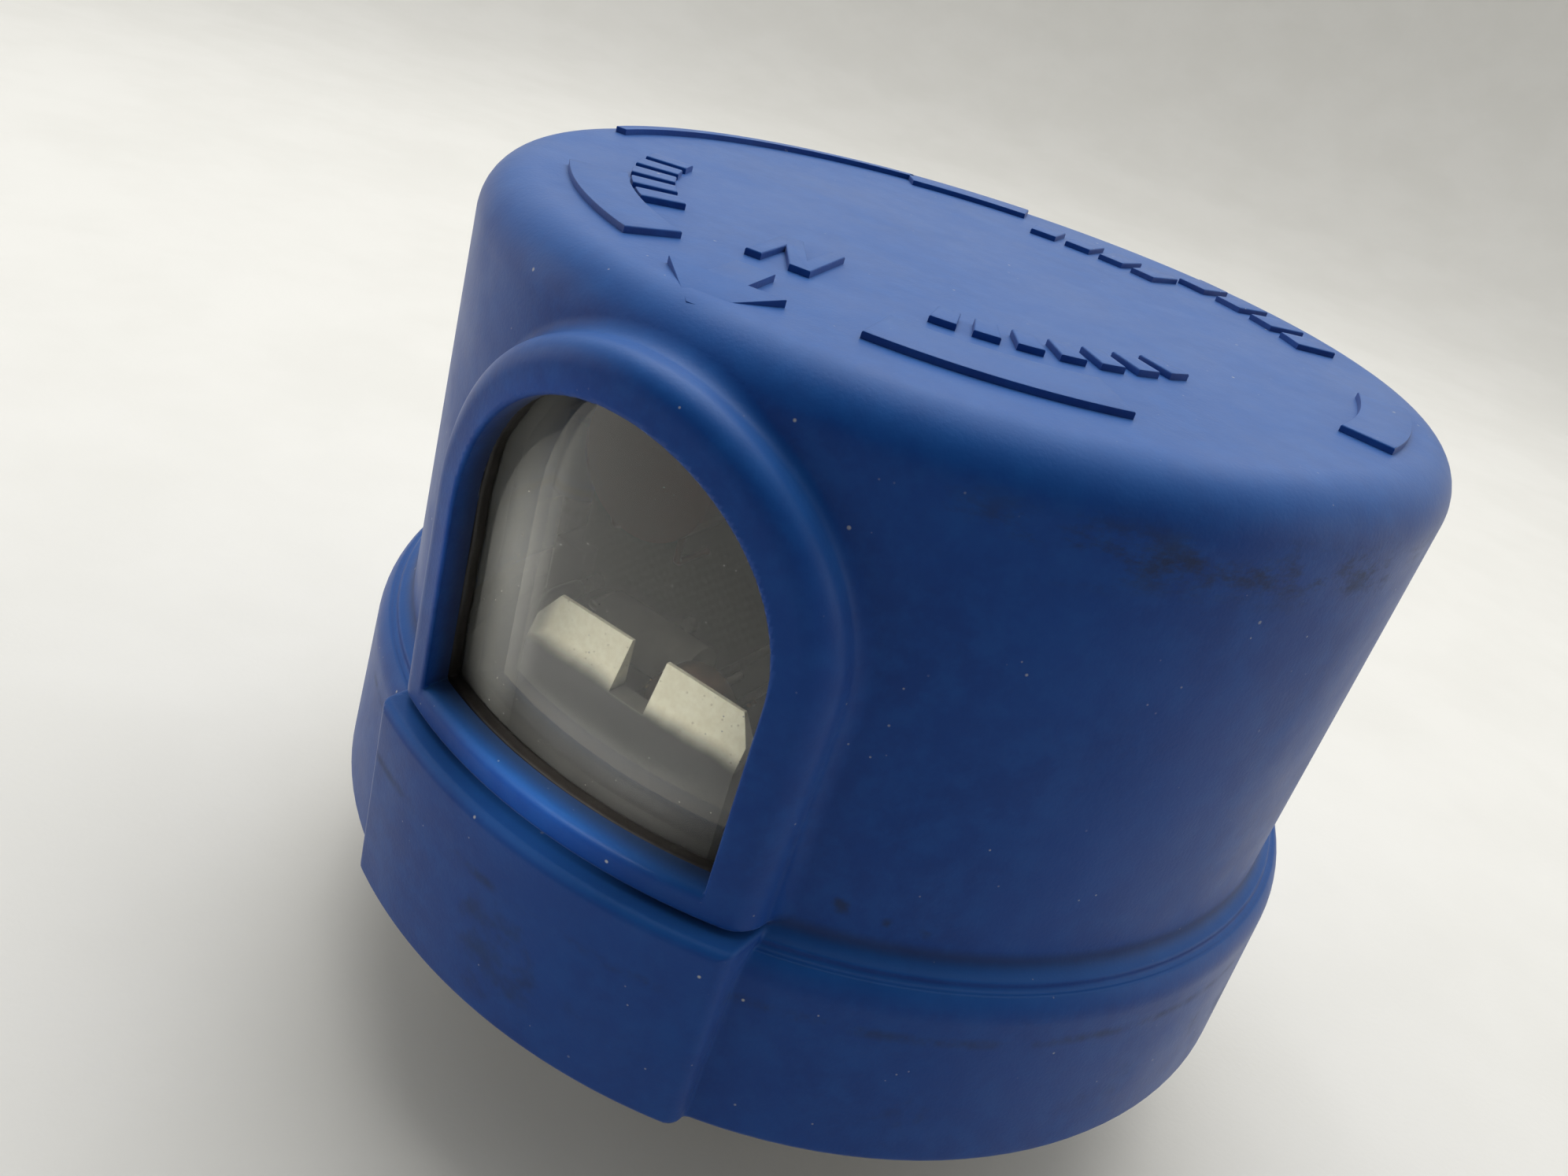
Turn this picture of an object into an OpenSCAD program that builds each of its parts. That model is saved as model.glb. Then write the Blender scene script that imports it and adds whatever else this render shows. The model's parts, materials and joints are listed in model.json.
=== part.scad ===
// Twist-lock photocontrol for a street light. A blue moulded cover with an arched window
// stands on a black base with three locking blades. The board, the photocell and the relay
// that switches the lamp are inside. +Z is up and the window faces -Y. The origin is the
// centre of the base's underside, the plane that rests on the lamp's receptacle.

/* [Cover] */
// Height of the top face above the seat plane
cover_h = 52.6; // [50:0.1:56]
// Outer radius of the skirt at its lower edge
skirt_r = 42.4; // [42.2:0.1:43.2]
// Outer radius of the skirt under its shoulder
skirt_top_r = 41.7; // [41.2:0.1:42.2]
// Height at which the body rises from the skirt's shoulder
ledge_z = 16.5; // [15.5:0.1:17]
// Radius of the rounded shoulder
shoulder_round = 3; // [2:0.1:4]
// Outer radius of the body at the shoulder
body_r = 39.2; // [39:0.1:39.6]
// Outer radius of the body just under the top rounding
body_top_r = 38.7; // [38.4:0.1:39]
// Radius of the top rounding
top_round = 4; // [3:0.1:5]
// Wall thickness of the body and of the skirt
wall = 2.2; // [1.8:0.1:2.4]
// Gap between the skirt's lower edge and the seat plane
rim_z = 0.3; // [0.1:0.1:1]
// Height of the raised marks on the top face
mark_h = 0.5; // [0.2:0.1:0.8]

/* [Window] */
// Half the width of the window opening
window_half = 13; // [11:0.1:13.4]
// Height of the window sill
sill_z = 19.2; // [19:0.1:22]
// Height at which the arch of the window starts
spring_z = 33.5; // [31:0.1:33.8]
// Half the width of the raised frame around the window
frame_half = 16.4; // [16:0.1:17]
// Radius of the frame's curved face
frame_r = 42; // [41.6:0.1:42.4]
// Width of the groove between the frame and the panel under it
groove = 0.5; // [0.3:0.1:0.8]
// Radius of the curved face of the panel under the window
panel_r = 43.6; // [43.3:0.1:44]
// Thickness of the lens
lens_t = 1.5; // [1:0.1:1.8]
// Radius of the lens's outer face
lens_r = 38.3; // [38.2:0.1:38.6]
// Thickness of the bead of sealant between the lens and the cover
seal_t = 1.4; // [1:0.1:1.6]

/* [Base] */
// Radius of the base plate
base_r = 39.4; // [38.8:0.1:39.6]
// Thickness of the base plate
base_t = 4; // [3.6:0.1:4.4]
// Inner radius of the seat gasket
gasket_in_r = 22; // [21.6:0.1:23]
// Outer radius of the seat gasket
gasket_out_r = 31; // [29:0.1:31.2]
// Depth of the groove that holds the gasket
gasket_groove = 1.8; // [1.2:0.1:2]
// How far the free gasket stands below the seat plane
gasket_proud = 1.2; // [0.8:0.1:2]
// Distance of each cover screw from the centre
screw_circle_r = 35; // [34.8:0.1:35.2]
// Radius of the cover screws' thread
screw_r = 1.5; // [1.3:0.05:1.6]

/* [Blades] */
// Mean radius of the circle on which the blades stand
blade_circle_r = 16.65; // [16.4:0.05:17]
// Thickness of the blades
blade_t = 1.5; // [1.3:0.05:1.6]
// Length of the blades below the seat plane
blade_len = 17.5; // [16:0.1:19]
// Width of the line and load blades
live_blade_w = 8.7; // [8:0.1:9]
// Width of the neutral blade
neutral_blade_w = 12.2; // [11.5:0.1:12.6]
// How far each hook reaches sideways
hook_reach = 3.6; // [3:0.1:4]
// Height of each hook
hook_h = 7.5; // [6:0.1:8]
// Radius of the rivets that hold the blades
rivet_r = 1.5; // [1.2:0.05:1.6]

/* [Light baffle and board] */
// Width of the light baffle
baffle_w = 18.8; // [17:0.1:19.4]
// Height of the light baffle's top edge
baffle_top = 27.4; // [26:0.1:29]
// Width of the baffle's notch
notch_w = 3.1; // [2.5:0.1:5]
// Depth of the baffle's notch
notch_h = 3.8; // [2.5:0.1:6]
// Y position of the baffle's front face
baffle_y = -33.4; // [-33.6:0.1:-33]
// Thickness of the baffle and of the circuit board
board_t = 1.6; // [1.4:0.1:1.6]
// Y position of the circuit board's front face
board_y = -7.6; // [-8:0.1:-7.4]
// Width of the circuit board
board_w = 54; // [52:0.5:55]
// Height of the circuit board's top edge
board_top = 44; // [40:0.5:46]
// Diameter of the photocell
cell_d = 7; // [5:0.1:8]

/* [Relay] */
// Height of the relay's pole face above its base
pole_h = 19.7; // [19:0.1:21]
// Travel of the armature's front edge over the pole face
air_gap = 0.8; // [0.7:0.05:0.9]
// Outer radius of the coil winding
coil_r = 7.3; // [6.5:0.1:7.6]
// Width of the yoke and of the armature
yoke_w = 12; // [10:0.1:13]
// Thickness of the steel of the yoke and of the armature
steel_t = 1.5; // [1.3:0.05:1.6]

/* [Hidden] */
$fn = 96;
// Clearance between pieces that fit each other without moving
fit = 0.1;
// Clearance between the armature and what it rests on
rest_gap = 0.02;
// Overlap that joins two shapes, or lets a cut run past a face
lap = 0.5;

ceiling_z = cover_h - wall;
skirt_in_r = skirt_r - wall;
body_in_r = body_r - wall;
shoulder_in_z = ledge_z - wall;
top_round_in = top_round - wall;
frame_foot_z = ledge_z + groove;
panel_top_z = ledge_z;
pocket_r = lens_r + seal_t;
lens_half = window_half + 1.9;
lens_foot_z = sill_z - 1.7;
seal_half = window_half + 0.2;
seal_foot_z = sill_z - 0.2;
blade_in_r = blade_circle_r - blade_t / 2;
blade_out_r = blade_circle_r + blade_t / 2;
blade_tip_chamfer = 0.45;
ear_t = 1.5;
ear_in_r = 9;
ear_angle = 22;
rivet_at_r = 11.6;
rivet_head_r = 2.4;
rivet_head_t = 0.8;
rivet_recess = 0.4;
line_angle = 210;
load_angle = 330;
neutral_angle = 90;
screw_angles = [60, 180, 300];
boss_r = 3;
boss_top_z = 25;
screw_len = 16;
screw_head_r = 2.8;
screw_head_t = 1.8;
screw_head_z = 0.3;
screw_slot_w = 0.9;
screw_slot_d = 1;
baffle_foot_z = base_t + 0.6;
baffle_chamfer_x = 1.2;
baffle_chamfer_z = 1.9;
board_back_y = board_y + board_t;
board_foot_z = base_t + 2.6;
board_chamfer = 4;
post_h = 16;
post_w = 4;
post_depth = 5;
post_grip = 2;
cell_y = -26;
cell_t = 2.5;
cell_z = 19.5;
cell_lead_x = 1.7;
lead_r = 0.35;

relay_y = 10;
relay_base_z = base_t + 4;
relay_base_t = 2;
relay_floor_z = relay_base_z + relay_base_t;
relay_base_w = 20;
relay_front_y = board_back_y + 1.2;
relay_back_y = 24.5;
pole_z = relay_floor_z + pole_h;
pivot_z = pole_z + air_gap;
yoke_leg_y = 18.6;
core_r = 3;
pole_r = 4.5;
pole_t = 1.2;
bobbin_flange_r = coil_r + 0.7;
bobbin_flange_t = 1;
bobbin_foot_z = relay_floor_z + steel_t + 0.2;
bobbin_top_z = pole_z - pole_t - 0.2;
armature_front_y = relay_y - 7;
armature_tail_y = yoke_leg_y + 5.6;
armature_z = pivot_z + rest_gap;
contact_y = -0.5;
contact_r = 1.5;
leaf_w = 6;
leaf_t = 0.3;
leaf_z = armature_z + steel_t;
leaf_front_y = contact_y - 2.2;
contact_low_z = leaf_z - 1;
contact_high_z = leaf_z + leaf_t + 0.8;
fixed_contact_z = contact_high_z + rest_gap;
fixed_contact_t = 1;
strip_t = 0.8;
strip_y = relay_front_y + 0.8;
bracket_z = relay_floor_z + 8;
bracket_w = 3;
spring_y = armature_tail_y - 1.6;
spring_r = 1.5;
spring_wire = 0.4;
spring_gap = 0.6;
small_hole_r = 0.8;
leaf_rivet_ys = [relay_y - 3.6, relay_y + 3.6];
leaf_back_y = relay_y + 6;
wire_r = 0.9;
wire_turn = 11;
tab_z = base_t + ear_t;

// Where the leads of the parts pass through the board, as [x, z]
dropper_leads = [[-22, 12.5], [-6, 12.5]];
resistor_leads = [[8, 12], [20, 12], [8, 17], [20, 17]];
diode_leads = [[-4, 36], [5, 36], [-4, 40.5], [5, 40.5]];
arrester_leads = [[-20.5, 22], [-13, 22]];
film_leads = [[9.5, 26], [21.5, 26]];
filter_leads = [[-21.5, 30], [-16.5, 30]];
cell_leads = [[-cell_lead_x, cell_z], [cell_lead_x, cell_z]];
strip_lead = [0, 7.2];
yoke_lead = [-4, relay_floor_z + steel_t / 2];
part_leads = concat(
    dropper_leads, resistor_leads, diode_leads, arrester_leads,
    film_leads, filter_leads, cell_leads, [strip_lead, yoke_lead]
);
// Solder pins for the wires: two stand out in front of the board and three behind it
front_pins = [[-24, 13], [24, 13]];
rear_pins = [[24, 22], [-12.5, 38], [-12.5, 14.5]];
pin_r = 0.7;
pin_reach = 3;
lead_stub = 0.5;
part_gap = 0.6;

// ---- shapes that several pieces share ----

// A ring or disc between two radii and two heights
module ring(r_in, r_out, z0, z1) {
    translate([0, 0, z0])
        difference() {
            cylinder(r = r_out, h = z1 - z0);
            translate([0, 0, -lap]) cylinder(r = r_in, h = z1 - z0 + 2 * lap);
        }
}

// A curved strip round the Z axis, centred on the angle at, as wide as span degrees
module arc_strip(r_in, r_out, z0, z1, at, span) {
    rotate([0, 0, at - span / 2])
        rotate_extrude(angle = span)
            translate([r_in, z0])
                square([r_out - r_in, z1 - z0]);
}

// The angle that a chord of width w spans at radius r
function chord_angle(w, r) = 2 * asin(w / 2 / r);

// The window's outline: a straight-sided arch, x across and y up
module arch_outline(half, foot_z) {
    translate([-half, foot_z])
        square([2 * half, spring_z - foot_z]);
    translate([0, spring_z])
        circle(r = half);
}

// The part of a cylindrical wall that lies inside an arch on the -Y side
module arch_wall(half, foot_z, r_in, r_out) {
    intersection() {
        ring(r_in, r_out, foot_z - lap, cover_h);
        rotate([90, 0, 0])
            linear_extrude(height = r_out + lap)
                arch_outline(half, foot_z);
    }
}

// A straight round rod between two points
module rod(a, b, r) {
    d = b - a;
    translate(a)
        rotate([0, acos(d[2] / norm(d)), atan2(d[1], d[0])])
            cylinder(r = r, h = norm(d));
}

// A quarter turn of round wire about the corner p, from the direction a to the direction b
module bend(p, a, b, turn_r, r) {
    x = -b;
    z = cross(x, a);
    c = p + (b - a) * turn_r;
    multmatrix([
        [x[0], a[0], z[0], c[0]],
        [x[1], a[1], z[1], c[1]],
        [x[2], a[2], z[2], c[2]],
        [0, 0, 0, 1]
    ])
        rotate_extrude(angle = 90)
            translate([turn_r, 0])
                circle(r = r);
}

// A wire through a list of points whose corners are all square, with a round bend at each
module wire(points, r) {
    turn_r = 1.5 * r;
    last = len(points) - 1;
    ways = [for (i = [0 : last - 1]) (points[i + 1] - points[i]) / norm(points[i + 1] - points[i])];
    for (i = [0 : last - 1]) {
        from = points[i] + ways[i] * (i > 0 ? turn_r : 0);
        to = points[i + 1] - ways[i] * (i < last - 1 ? turn_r : 0);
        rod(from, to, r);
    }
    for (i = [1 : last - 1])
        bend(points[i], ways[i - 1], ways[i], turn_r, r);
}

// ---- cover and window ----

// Half section of the cover's outside
module cover_outside() {
    polygon([
        [0, rim_z],
        [skirt_r, rim_z],
        [skirt_top_r, ledge_z - shoulder_round],
        [skirt_top_r - shoulder_round, ledge_z],
        [0, ledge_z]
    ]);
    translate([skirt_top_r - shoulder_round, ledge_z - shoulder_round])
        circle(r = shoulder_round);
    polygon([
        [0, ledge_z - lap],
        [body_r, ledge_z - lap],
        [body_r, ledge_z],
        [body_top_r, cover_h - top_round],
        [body_top_r - top_round, cover_h],
        [0, cover_h]
    ]);
    translate([body_top_r - top_round, cover_h - top_round])
        circle(r = top_round);
}

// Half section of the space inside the cover
module cover_inside() {
    translate([0, rim_z - lap])
        square([skirt_in_r, shoulder_in_z - rim_z + lap]);
    square([body_in_r - top_round_in, ceiling_z]);
    square([body_in_r, ceiling_z - top_round_in]);
    translate([body_in_r - top_round_in, ceiling_z - top_round_in])
        circle(r = top_round_in);
}

// Keeps only the right half of a section, so that it can be turned round the axis
module right_half() {
    intersection() {
        children();
        square([skirt_r + lap, cover_h + lap]);
    }
}

// Flat outline of the arrow and the letter N for north, measured from the arrow's tip
module north_outline() {
    head_half = 4;
    head_len = 5.3;
    stem_half = 1.4;
    stem_end = 9.9;
    n_half = 2.4;
    n_start = 13.8;
    n_end = 21.1;
    n_stroke = 1.2;
    n_slant = 1.3 * n_stroke;
    polygon([[0, 0], [head_half, head_len], [-head_half, head_len]]);
    translate([-stem_half, head_len - lap])
        square([2 * stem_half, stem_end - head_len + lap]);
    for (x = [-n_half, n_half - n_stroke])
        translate([x, n_start]) square([n_stroke, n_end - n_start]);
    polygon([
        [-n_half, n_end],
        [n_slant - n_half, n_end],
        [n_half, n_start],
        [n_half - n_slant, n_start]
    ]);
}

// North mark, bands along the rim, and rows of plain bars
module top_marks() {
    north_tip = [-0.7, -36.8];
    north_turn = 13.5;
    // Each band as [inner radius, outer radius, middle angle, span]
    bands = [[25, 30.6, -61, 32], [28.4, 32.8, -124, 29], [30.4, 34.2, 6, 24], [31, 34.2, 119, 22]];
    // Each row of short bars as [inner radius, outer radius, first angle, step, span, count]
    front_row = [18.4, 21.6, -70, 8, 5, 7];
    left_row = [24.8, 28.2, -158, 7.4, 4.6, 5];
    back_row = [24, 28, 76, 8.5, 6, 4];
    rim_row = [29, 32.6, 44, 9, 6, 4];
    z0 = cover_h - lap;
    z1 = cover_h + mark_h;
    translate([0, 0, z0])
        linear_extrude(height = z1 - z0)
            intersection() {
                circle(r = body_top_r - top_round);
                translate(north_tip) rotate([0, 0, north_turn]) north_outline();
            }
    for (band = bands)
        arc_strip(band[0], band[1], z0, z1, band[2], band[3]);
    for (row = [front_row, left_row, back_row, rim_row])
        for (i = [0 : row[5] - 1])
            arc_strip(row[0], row[1], z0, z1, row[2] + row[3] * i, row[4]);
}

module cover() {
    color([0.09, 0.22, 0.5])
        difference() {
            union() {
                difference() {
                    union() {
                        rotate_extrude() right_half() cover_outside();
                        arch_wall(frame_half, frame_foot_z, body_in_r, frame_r);
                        intersection() {
                            ring(skirt_in_r - lap, panel_r, rim_z, panel_top_z);
                            translate([-frame_half, -panel_r - lap, rim_z])
                                cube([2 * frame_half, panel_r, panel_top_z - rim_z]);
                        }
                    }
                    rotate_extrude() right_half() cover_inside();
                }
                for (a = screw_angles)
                    rotate([0, 0, a])
                        translate([screw_circle_r, 0, base_t + fit])
                            cylinder(r = boss_r, h = boss_top_z - base_t - fit);
                top_marks();
            }
            arch_wall(window_half, sill_z, body_in_r - 2 * lap, panel_r);
            arch_wall(lens_half + fit, lens_foot_z - fit, body_in_r - 2 * lap, pocket_r);
            for (a = screw_angles)
                rotate([0, 0, a])
                    translate([screw_circle_r, 0, base_t - lap])
                        cylinder(r = screw_r + fit / 2, h = screw_len + lap);
        }
}

module window_lens() {
    color([0.75, 0.78, 0.76, 0.35])
        arch_wall(lens_half, lens_foot_z, lens_r - lens_t, lens_r);
}

module window_seal() {
    color([0.09, 0.07, 0.06])
        difference() {
            arch_wall(lens_half, lens_foot_z, lens_r, pocket_r);
            arch_wall(seal_half, seal_foot_z, lens_r - lap, pocket_r + lap);
        }
}

// ---- base ----

// An upright with a slot that opens towards the middle and holds one edge of the board
module board_post(side) {
    outer_x = board_w / 2 + post_w - post_grip;
    post_y = board_y + board_t / 2 - post_depth / 2;
    difference() {
        translate([side > 0 ? outer_x - post_w : -outer_x, post_y, base_t - lap])
            cube([post_w, post_depth, post_h - base_t + lap]);
        translate([-board_w / 2 - fit, board_y - fit / 2, board_foot_z])
            cube([board_w + 2 * fit, board_t + fit, post_h]);
    }
}

// A low block with a slot that holds the foot of the light baffle
module baffle_holder() {
    holder_w = baffle_w + 3;
    holder_depth = 4;
    holder_top_z = 10;
    difference() {
        translate([-holder_w / 2, baffle_y + board_t / 2 - holder_depth / 2, base_t - lap])
            cube([holder_w, holder_depth, holder_top_z - base_t + lap]);
        translate([-baffle_w / 2 - fit, baffle_y - fit / 2, baffle_foot_z])
            cube([baffle_w + 2 * fit, board_t + fit, holder_top_z]);
    }
}

// Places its children under the relay's base, clear of the blades' ears
module at_relay_posts() {
    inset = 2.5;
    front_inset = 5;
    for (x = [-relay_base_w / 2 + inset, relay_base_w / 2 - inset])
        for (y = [relay_front_y + front_inset, relay_back_y - inset])
            translate([x, y, 0])
                children();
}

module base_plate() {
    post_r = 2;
    rib_in_r = 36.4;
    rib_h = 3;
    cut_h = 10;
    head_gap = 0.3;
    color([0.06, 0.06, 0.065])
        difference() {
            union() {
                cylinder(r = base_r, h = base_t);
                ring(rib_in_r, base_r - wall / 2, base_t - lap, base_t + rib_h);
                board_post(1);
                board_post(-1);
                baffle_holder();
                at_relay_posts()
                    translate([0, 0, base_t - lap])
                        cylinder(r = post_r, h = relay_base_z - base_t + lap);
            }
            ring(gasket_in_r - fit, gasket_out_r + fit, -lap, gasket_groove);
            blade_slot(line_angle, live_blade_w);
            blade_slot(load_angle, live_blade_w);
            blade_slot(neutral_angle, neutral_blade_w);
            for (a = [line_angle, load_angle, neutral_angle])
                rotate([0, 0, a])
                    translate([rivet_at_r, 0, -lap]) {
                        cylinder(r = rivet_r + fit / 2, h = base_t + 2 * lap);
                        cylinder(r = rivet_head_r + rivet_recess, h = rivet_head_t + rivet_recess + lap);
                    }
            for (a = screw_angles)
                rotate([0, 0, a])
                    translate([screw_circle_r, 0, -lap]) {
                        cylinder(r = screw_r + fit, h = base_t + cut_h);
                        cylinder(r = screw_head_r + head_gap, h = screw_head_z + screw_head_t + lap);
                        translate([0, 0, base_t + lap])
                            cylinder(r = boss_r + fit, h = cut_h);
                    }
        }
}

// The cut in the base through which a blade passes
module blade_slot(at, w) {
    span = chord_angle(w + 2 * fit, blade_circle_r);
    arc_strip(blade_in_r - fit, blade_out_r + fit, -lap, base_t + lap, at, span);
}

module seat_gasket() {
    color([0.16, 0.16, 0.17])
        ring(gasket_in_r, gasket_out_r, -gasket_proud, gasket_groove);
}

module cover_screws() {
    slot_len = 1.3 * screw_head_r;
    color([0.72, 0.72, 0.7])
        for (a = screw_angles)
            rotate([0, 0, a])
                translate([screw_circle_r, 0, 0])
                    difference() {
                        union() {
                            translate([0, 0, screw_head_z]) cylinder(r = screw_head_r, h = screw_head_t);
                            translate([0, 0, screw_head_z]) cylinder(r = screw_r, h = screw_len);
                        }
                        for (turn = [0, 90])
                            rotate([0, 0, turn])
                                translate([-slot_len / 2, -screw_slot_w / 2, screw_head_z - lap])
                                    cube([slot_len, screw_slot_w, screw_slot_d + lap]);
                    }
}

// ---- blades ----

// One locking blade: a curved strip with a chamfered tip, a hook to one side, and an ear on
// top of the base that takes the rivet
module blade(at, w) {
    span = chord_angle(w, blade_circle_r);
    hook_span = chord_angle(w + hook_reach, blade_circle_r);
    difference() {
        union() {
            arc_strip(blade_in_r, blade_out_r, hook_h - blade_len - lap, base_t + ear_t, at, span);
            rotate([0, 0, at - span / 2])
                rotate_extrude(angle = hook_span)
                    polygon([
                        [blade_in_r, hook_h - blade_len],
                        [blade_out_r, hook_h - blade_len],
                        [blade_out_r, blade_tip_chamfer - blade_len],
                        [blade_out_r - blade_tip_chamfer, -blade_len],
                        [blade_in_r + blade_tip_chamfer, -blade_len],
                        [blade_in_r, blade_tip_chamfer - blade_len]
                    ]);
            arc_strip(ear_in_r, blade_out_r, base_t, base_t + ear_t, at, ear_angle);
        }
        rotate([0, 0, at])
            translate([rivet_at_r, 0, base_t - lap])
                cylinder(r = rivet_r + fit / 2, h = ear_t + 2 * lap);
    }
}

module line_blade() {
    color([0.78, 0.62, 0.32]) blade(line_angle, live_blade_w);
}

module load_blade() {
    color([0.78, 0.62, 0.32]) blade(load_angle, live_blade_w);
}

module neutral_blade() {
    color([0.78, 0.62, 0.32]) blade(neutral_angle, neutral_blade_w);
}

module blade_rivets() {
    shank_h = base_t + ear_t;
    eyelet_r = 0.8;
    color([0.75, 0.66, 0.42])
        for (a = [line_angle, load_angle, neutral_angle])
            rotate([0, 0, a])
                translate([rivet_at_r, 0, 0])
                    difference() {
                        union() {
                            translate([0, 0, rivet_recess])
                                cylinder(r = rivet_r, h = shank_h - rivet_recess + rivet_head_t);
                            translate([0, 0, rivet_recess]) cylinder(r = rivet_head_r, h = rivet_head_t);
                            translate([0, 0, shank_h]) cylinder(r = rivet_head_r, h = rivet_head_t);
                        }
                        translate([0, 0, -lap])
                            cylinder(r = eyelet_r, h = shank_h + rivet_head_t + 2 * lap);
                    }
}

// ---- light baffle, photocell and circuit board ----

module light_baffle() {
    half = baffle_w / 2;
    shoulder_z = baffle_top - baffle_chamfer_z;
    color([0.88, 0.83, 0.66])
        translate([0, baffle_y + board_t, 0])
            rotate([90, 0, 0])
                linear_extrude(height = board_t)
                    polygon([
                        [-half, baffle_foot_z],
                        [half, baffle_foot_z],
                        [half, shoulder_z],
                        [half - baffle_chamfer_x, baffle_top],
                        [notch_w / 2, baffle_top],
                        [notch_w / 2, baffle_top - notch_h],
                        [-notch_w / 2, baffle_top - notch_h],
                        [-notch_w / 2, baffle_top],
                        [baffle_chamfer_x - half, baffle_top],
                        [-half, shoulder_z]
                    ]);
}

module photocell() {
    track_w = 0.5;
    track_d = 0.2;
    track_step = 1.6;
    color([0.72, 0.36, 0.2])
        translate([0, cell_y, cell_z])
            rotate([-90, 0, 0])
                difference() {
                    cylinder(d = cell_d, h = cell_t);
                    for (x = [-track_step, 0, track_step])
                        translate([x - track_w / 2, -cell_d / 3, -lap])
                            cube([track_w, cell_d * 2 / 3, lap + track_d]);
                }
}

module photocell_leads() {
    color([0.75, 0.75, 0.73])
        for (x = [-cell_lead_x, cell_lead_x])
            rod([x, cell_y + cell_t, cell_z], [x, board_back_y + lead_stub, cell_z], lead_r);
}

module circuit_board() {
    half = board_w / 2;
    color([0.1, 0.2, 0.11])
        difference() {
            translate([0, board_back_y, 0])
                rotate([90, 0, 0])
                    linear_extrude(height = board_t)
                        polygon([
                            [-half, board_foot_z],
                            [half, board_foot_z],
                            [half, board_top - board_chamfer],
                            [half - board_chamfer, board_top],
                            [board_chamfer - half, board_top],
                            [-half, board_top - board_chamfer]
                        ]);
            for (p = part_leads)
                rod([p[0], board_y - lap, p[1]], [p[0], board_back_y + lap, p[1]], lead_r + fit);
            for (p = concat(front_pins, rear_pins))
                rod([p[0], board_y - lap, p[1]], [p[0], board_back_y + lap, p[1]], pin_r + fit / 2);
        }
}

// One axial part that lies along X in front of the board, with both leads bent back through it
module axial_part(leads, body_r, body_len) {
    y = board_y - body_r - part_gap;
    z = leads[0][1];
    mid = (leads[0][0] + leads[1][0]) / 2;
    translate([mid - body_len / 2, y, z])
        rotate([0, 90, 0])
            cylinder(r = body_r, h = body_len);
    for (p = leads)
        wire([[mid, y, z], [p[0], y, z], [p[0], board_back_y + lead_stub, z]], lead_r);
}

module dropper_resistor() {
    color([0.82, 0.8, 0.74]) axial_part(dropper_leads, 2.6, 11);
}

module small_resistors() {
    color([0.72, 0.6, 0.42])
        for (i = [0, 2])
            axial_part([resistor_leads[i], resistor_leads[i + 1]], 1.5, 7);
}

module rectifier_diodes() {
    color([0.1, 0.1, 0.1])
        for (i = [0, 2])
            axial_part([diode_leads[i], diode_leads[i + 1]], 1.35, 5);
}

// Disc that stands in front of the board on two leads
module surge_arrester() {
    disc_r = 7;
    disc_t = 4.6;
    stand_off = 2;
    lead_rise = 3;
    front_y = board_y - stand_off - disc_t;
    disc_z = 30.5;
    mid_x = (arrester_leads[0][0] + arrester_leads[1][0]) / 2;
    color([0.62, 0.2, 0.14]) {
        translate([mid_x, front_y, disc_z])
            rotate([-90, 0, 0])
                cylinder(r = disc_r, h = disc_t);
        for (p = arrester_leads)
            wire([
                [p[0], front_y + disc_t / 2, disc_z - lead_rise],
                [p[0], front_y + disc_t / 2, p[1]],
                [p[0], board_back_y + lead_stub, p[1]]
            ], lead_r);
    }
}

module film_capacitor() {
    cap_w = 17;
    cap_d = 6.5;
    cap_h = 11;
    foot_z = 27.5;
    mid_x = (film_leads[0][0] + film_leads[1][0]) / 2;
    y = board_y - part_gap - cap_d;
    color([0.3, 0.17, 0.1]) {
        translate([mid_x - cap_w / 2, y, foot_z])
            cube([cap_w, cap_d, cap_h]);
        for (p = film_leads)
            wire([
                [p[0], y + cap_d / 2, foot_z + 1],
                [p[0], y + cap_d / 2, p[1]],
                [p[0], board_back_y + lead_stub, p[1]]
            ], lead_r);
    }
}

module filter_capacitor() {
    can_r = 5;
    can_len = 16;
    mid_x = (filter_leads[0][0] + filter_leads[1][0]) / 2;
    lead_end_y = board_back_y + part_gap + lead_stub;
    color([0.12, 0.13, 0.16]) {
        translate([mid_x, board_back_y + part_gap, filter_leads[0][1]])
            rotate([-90, 0, 0])
                cylinder(r = can_r, h = can_len);
        for (p = filter_leads)
            rod([p[0], board_y - lead_stub, p[1]], [p[0], lead_end_y, p[1]], lead_r);
    }
}

// Terminal pins of the board, to which the wires are soldered
module board_pins() {
    color([0.78, 0.78, 0.76]) {
        for (p = front_pins)
            rod([p[0], board_y - pin_reach, p[1]], [p[0], board_back_y + lead_stub, p[1]], pin_r);
        for (p = rear_pins)
            rod([p[0], board_y - lead_stub, p[1]], [p[0], board_back_y + pin_reach, p[1]], pin_r);
    }
}

// ---- relay ----

module relay_base() {
    slot_w = leaf_w + 2 * fit;
    color([0.1, 0.1, 0.11])
        difference() {
            translate([-relay_base_w / 2, relay_front_y, relay_base_z])
                cube([relay_base_w, relay_back_y - relay_front_y, relay_base_t]);
            translate([-slot_w / 2, strip_y - fit, relay_base_z - lap])
                cube([slot_w, strip_t + 2 * fit, relay_base_t + 2 * lap]);
        }
}

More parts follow.
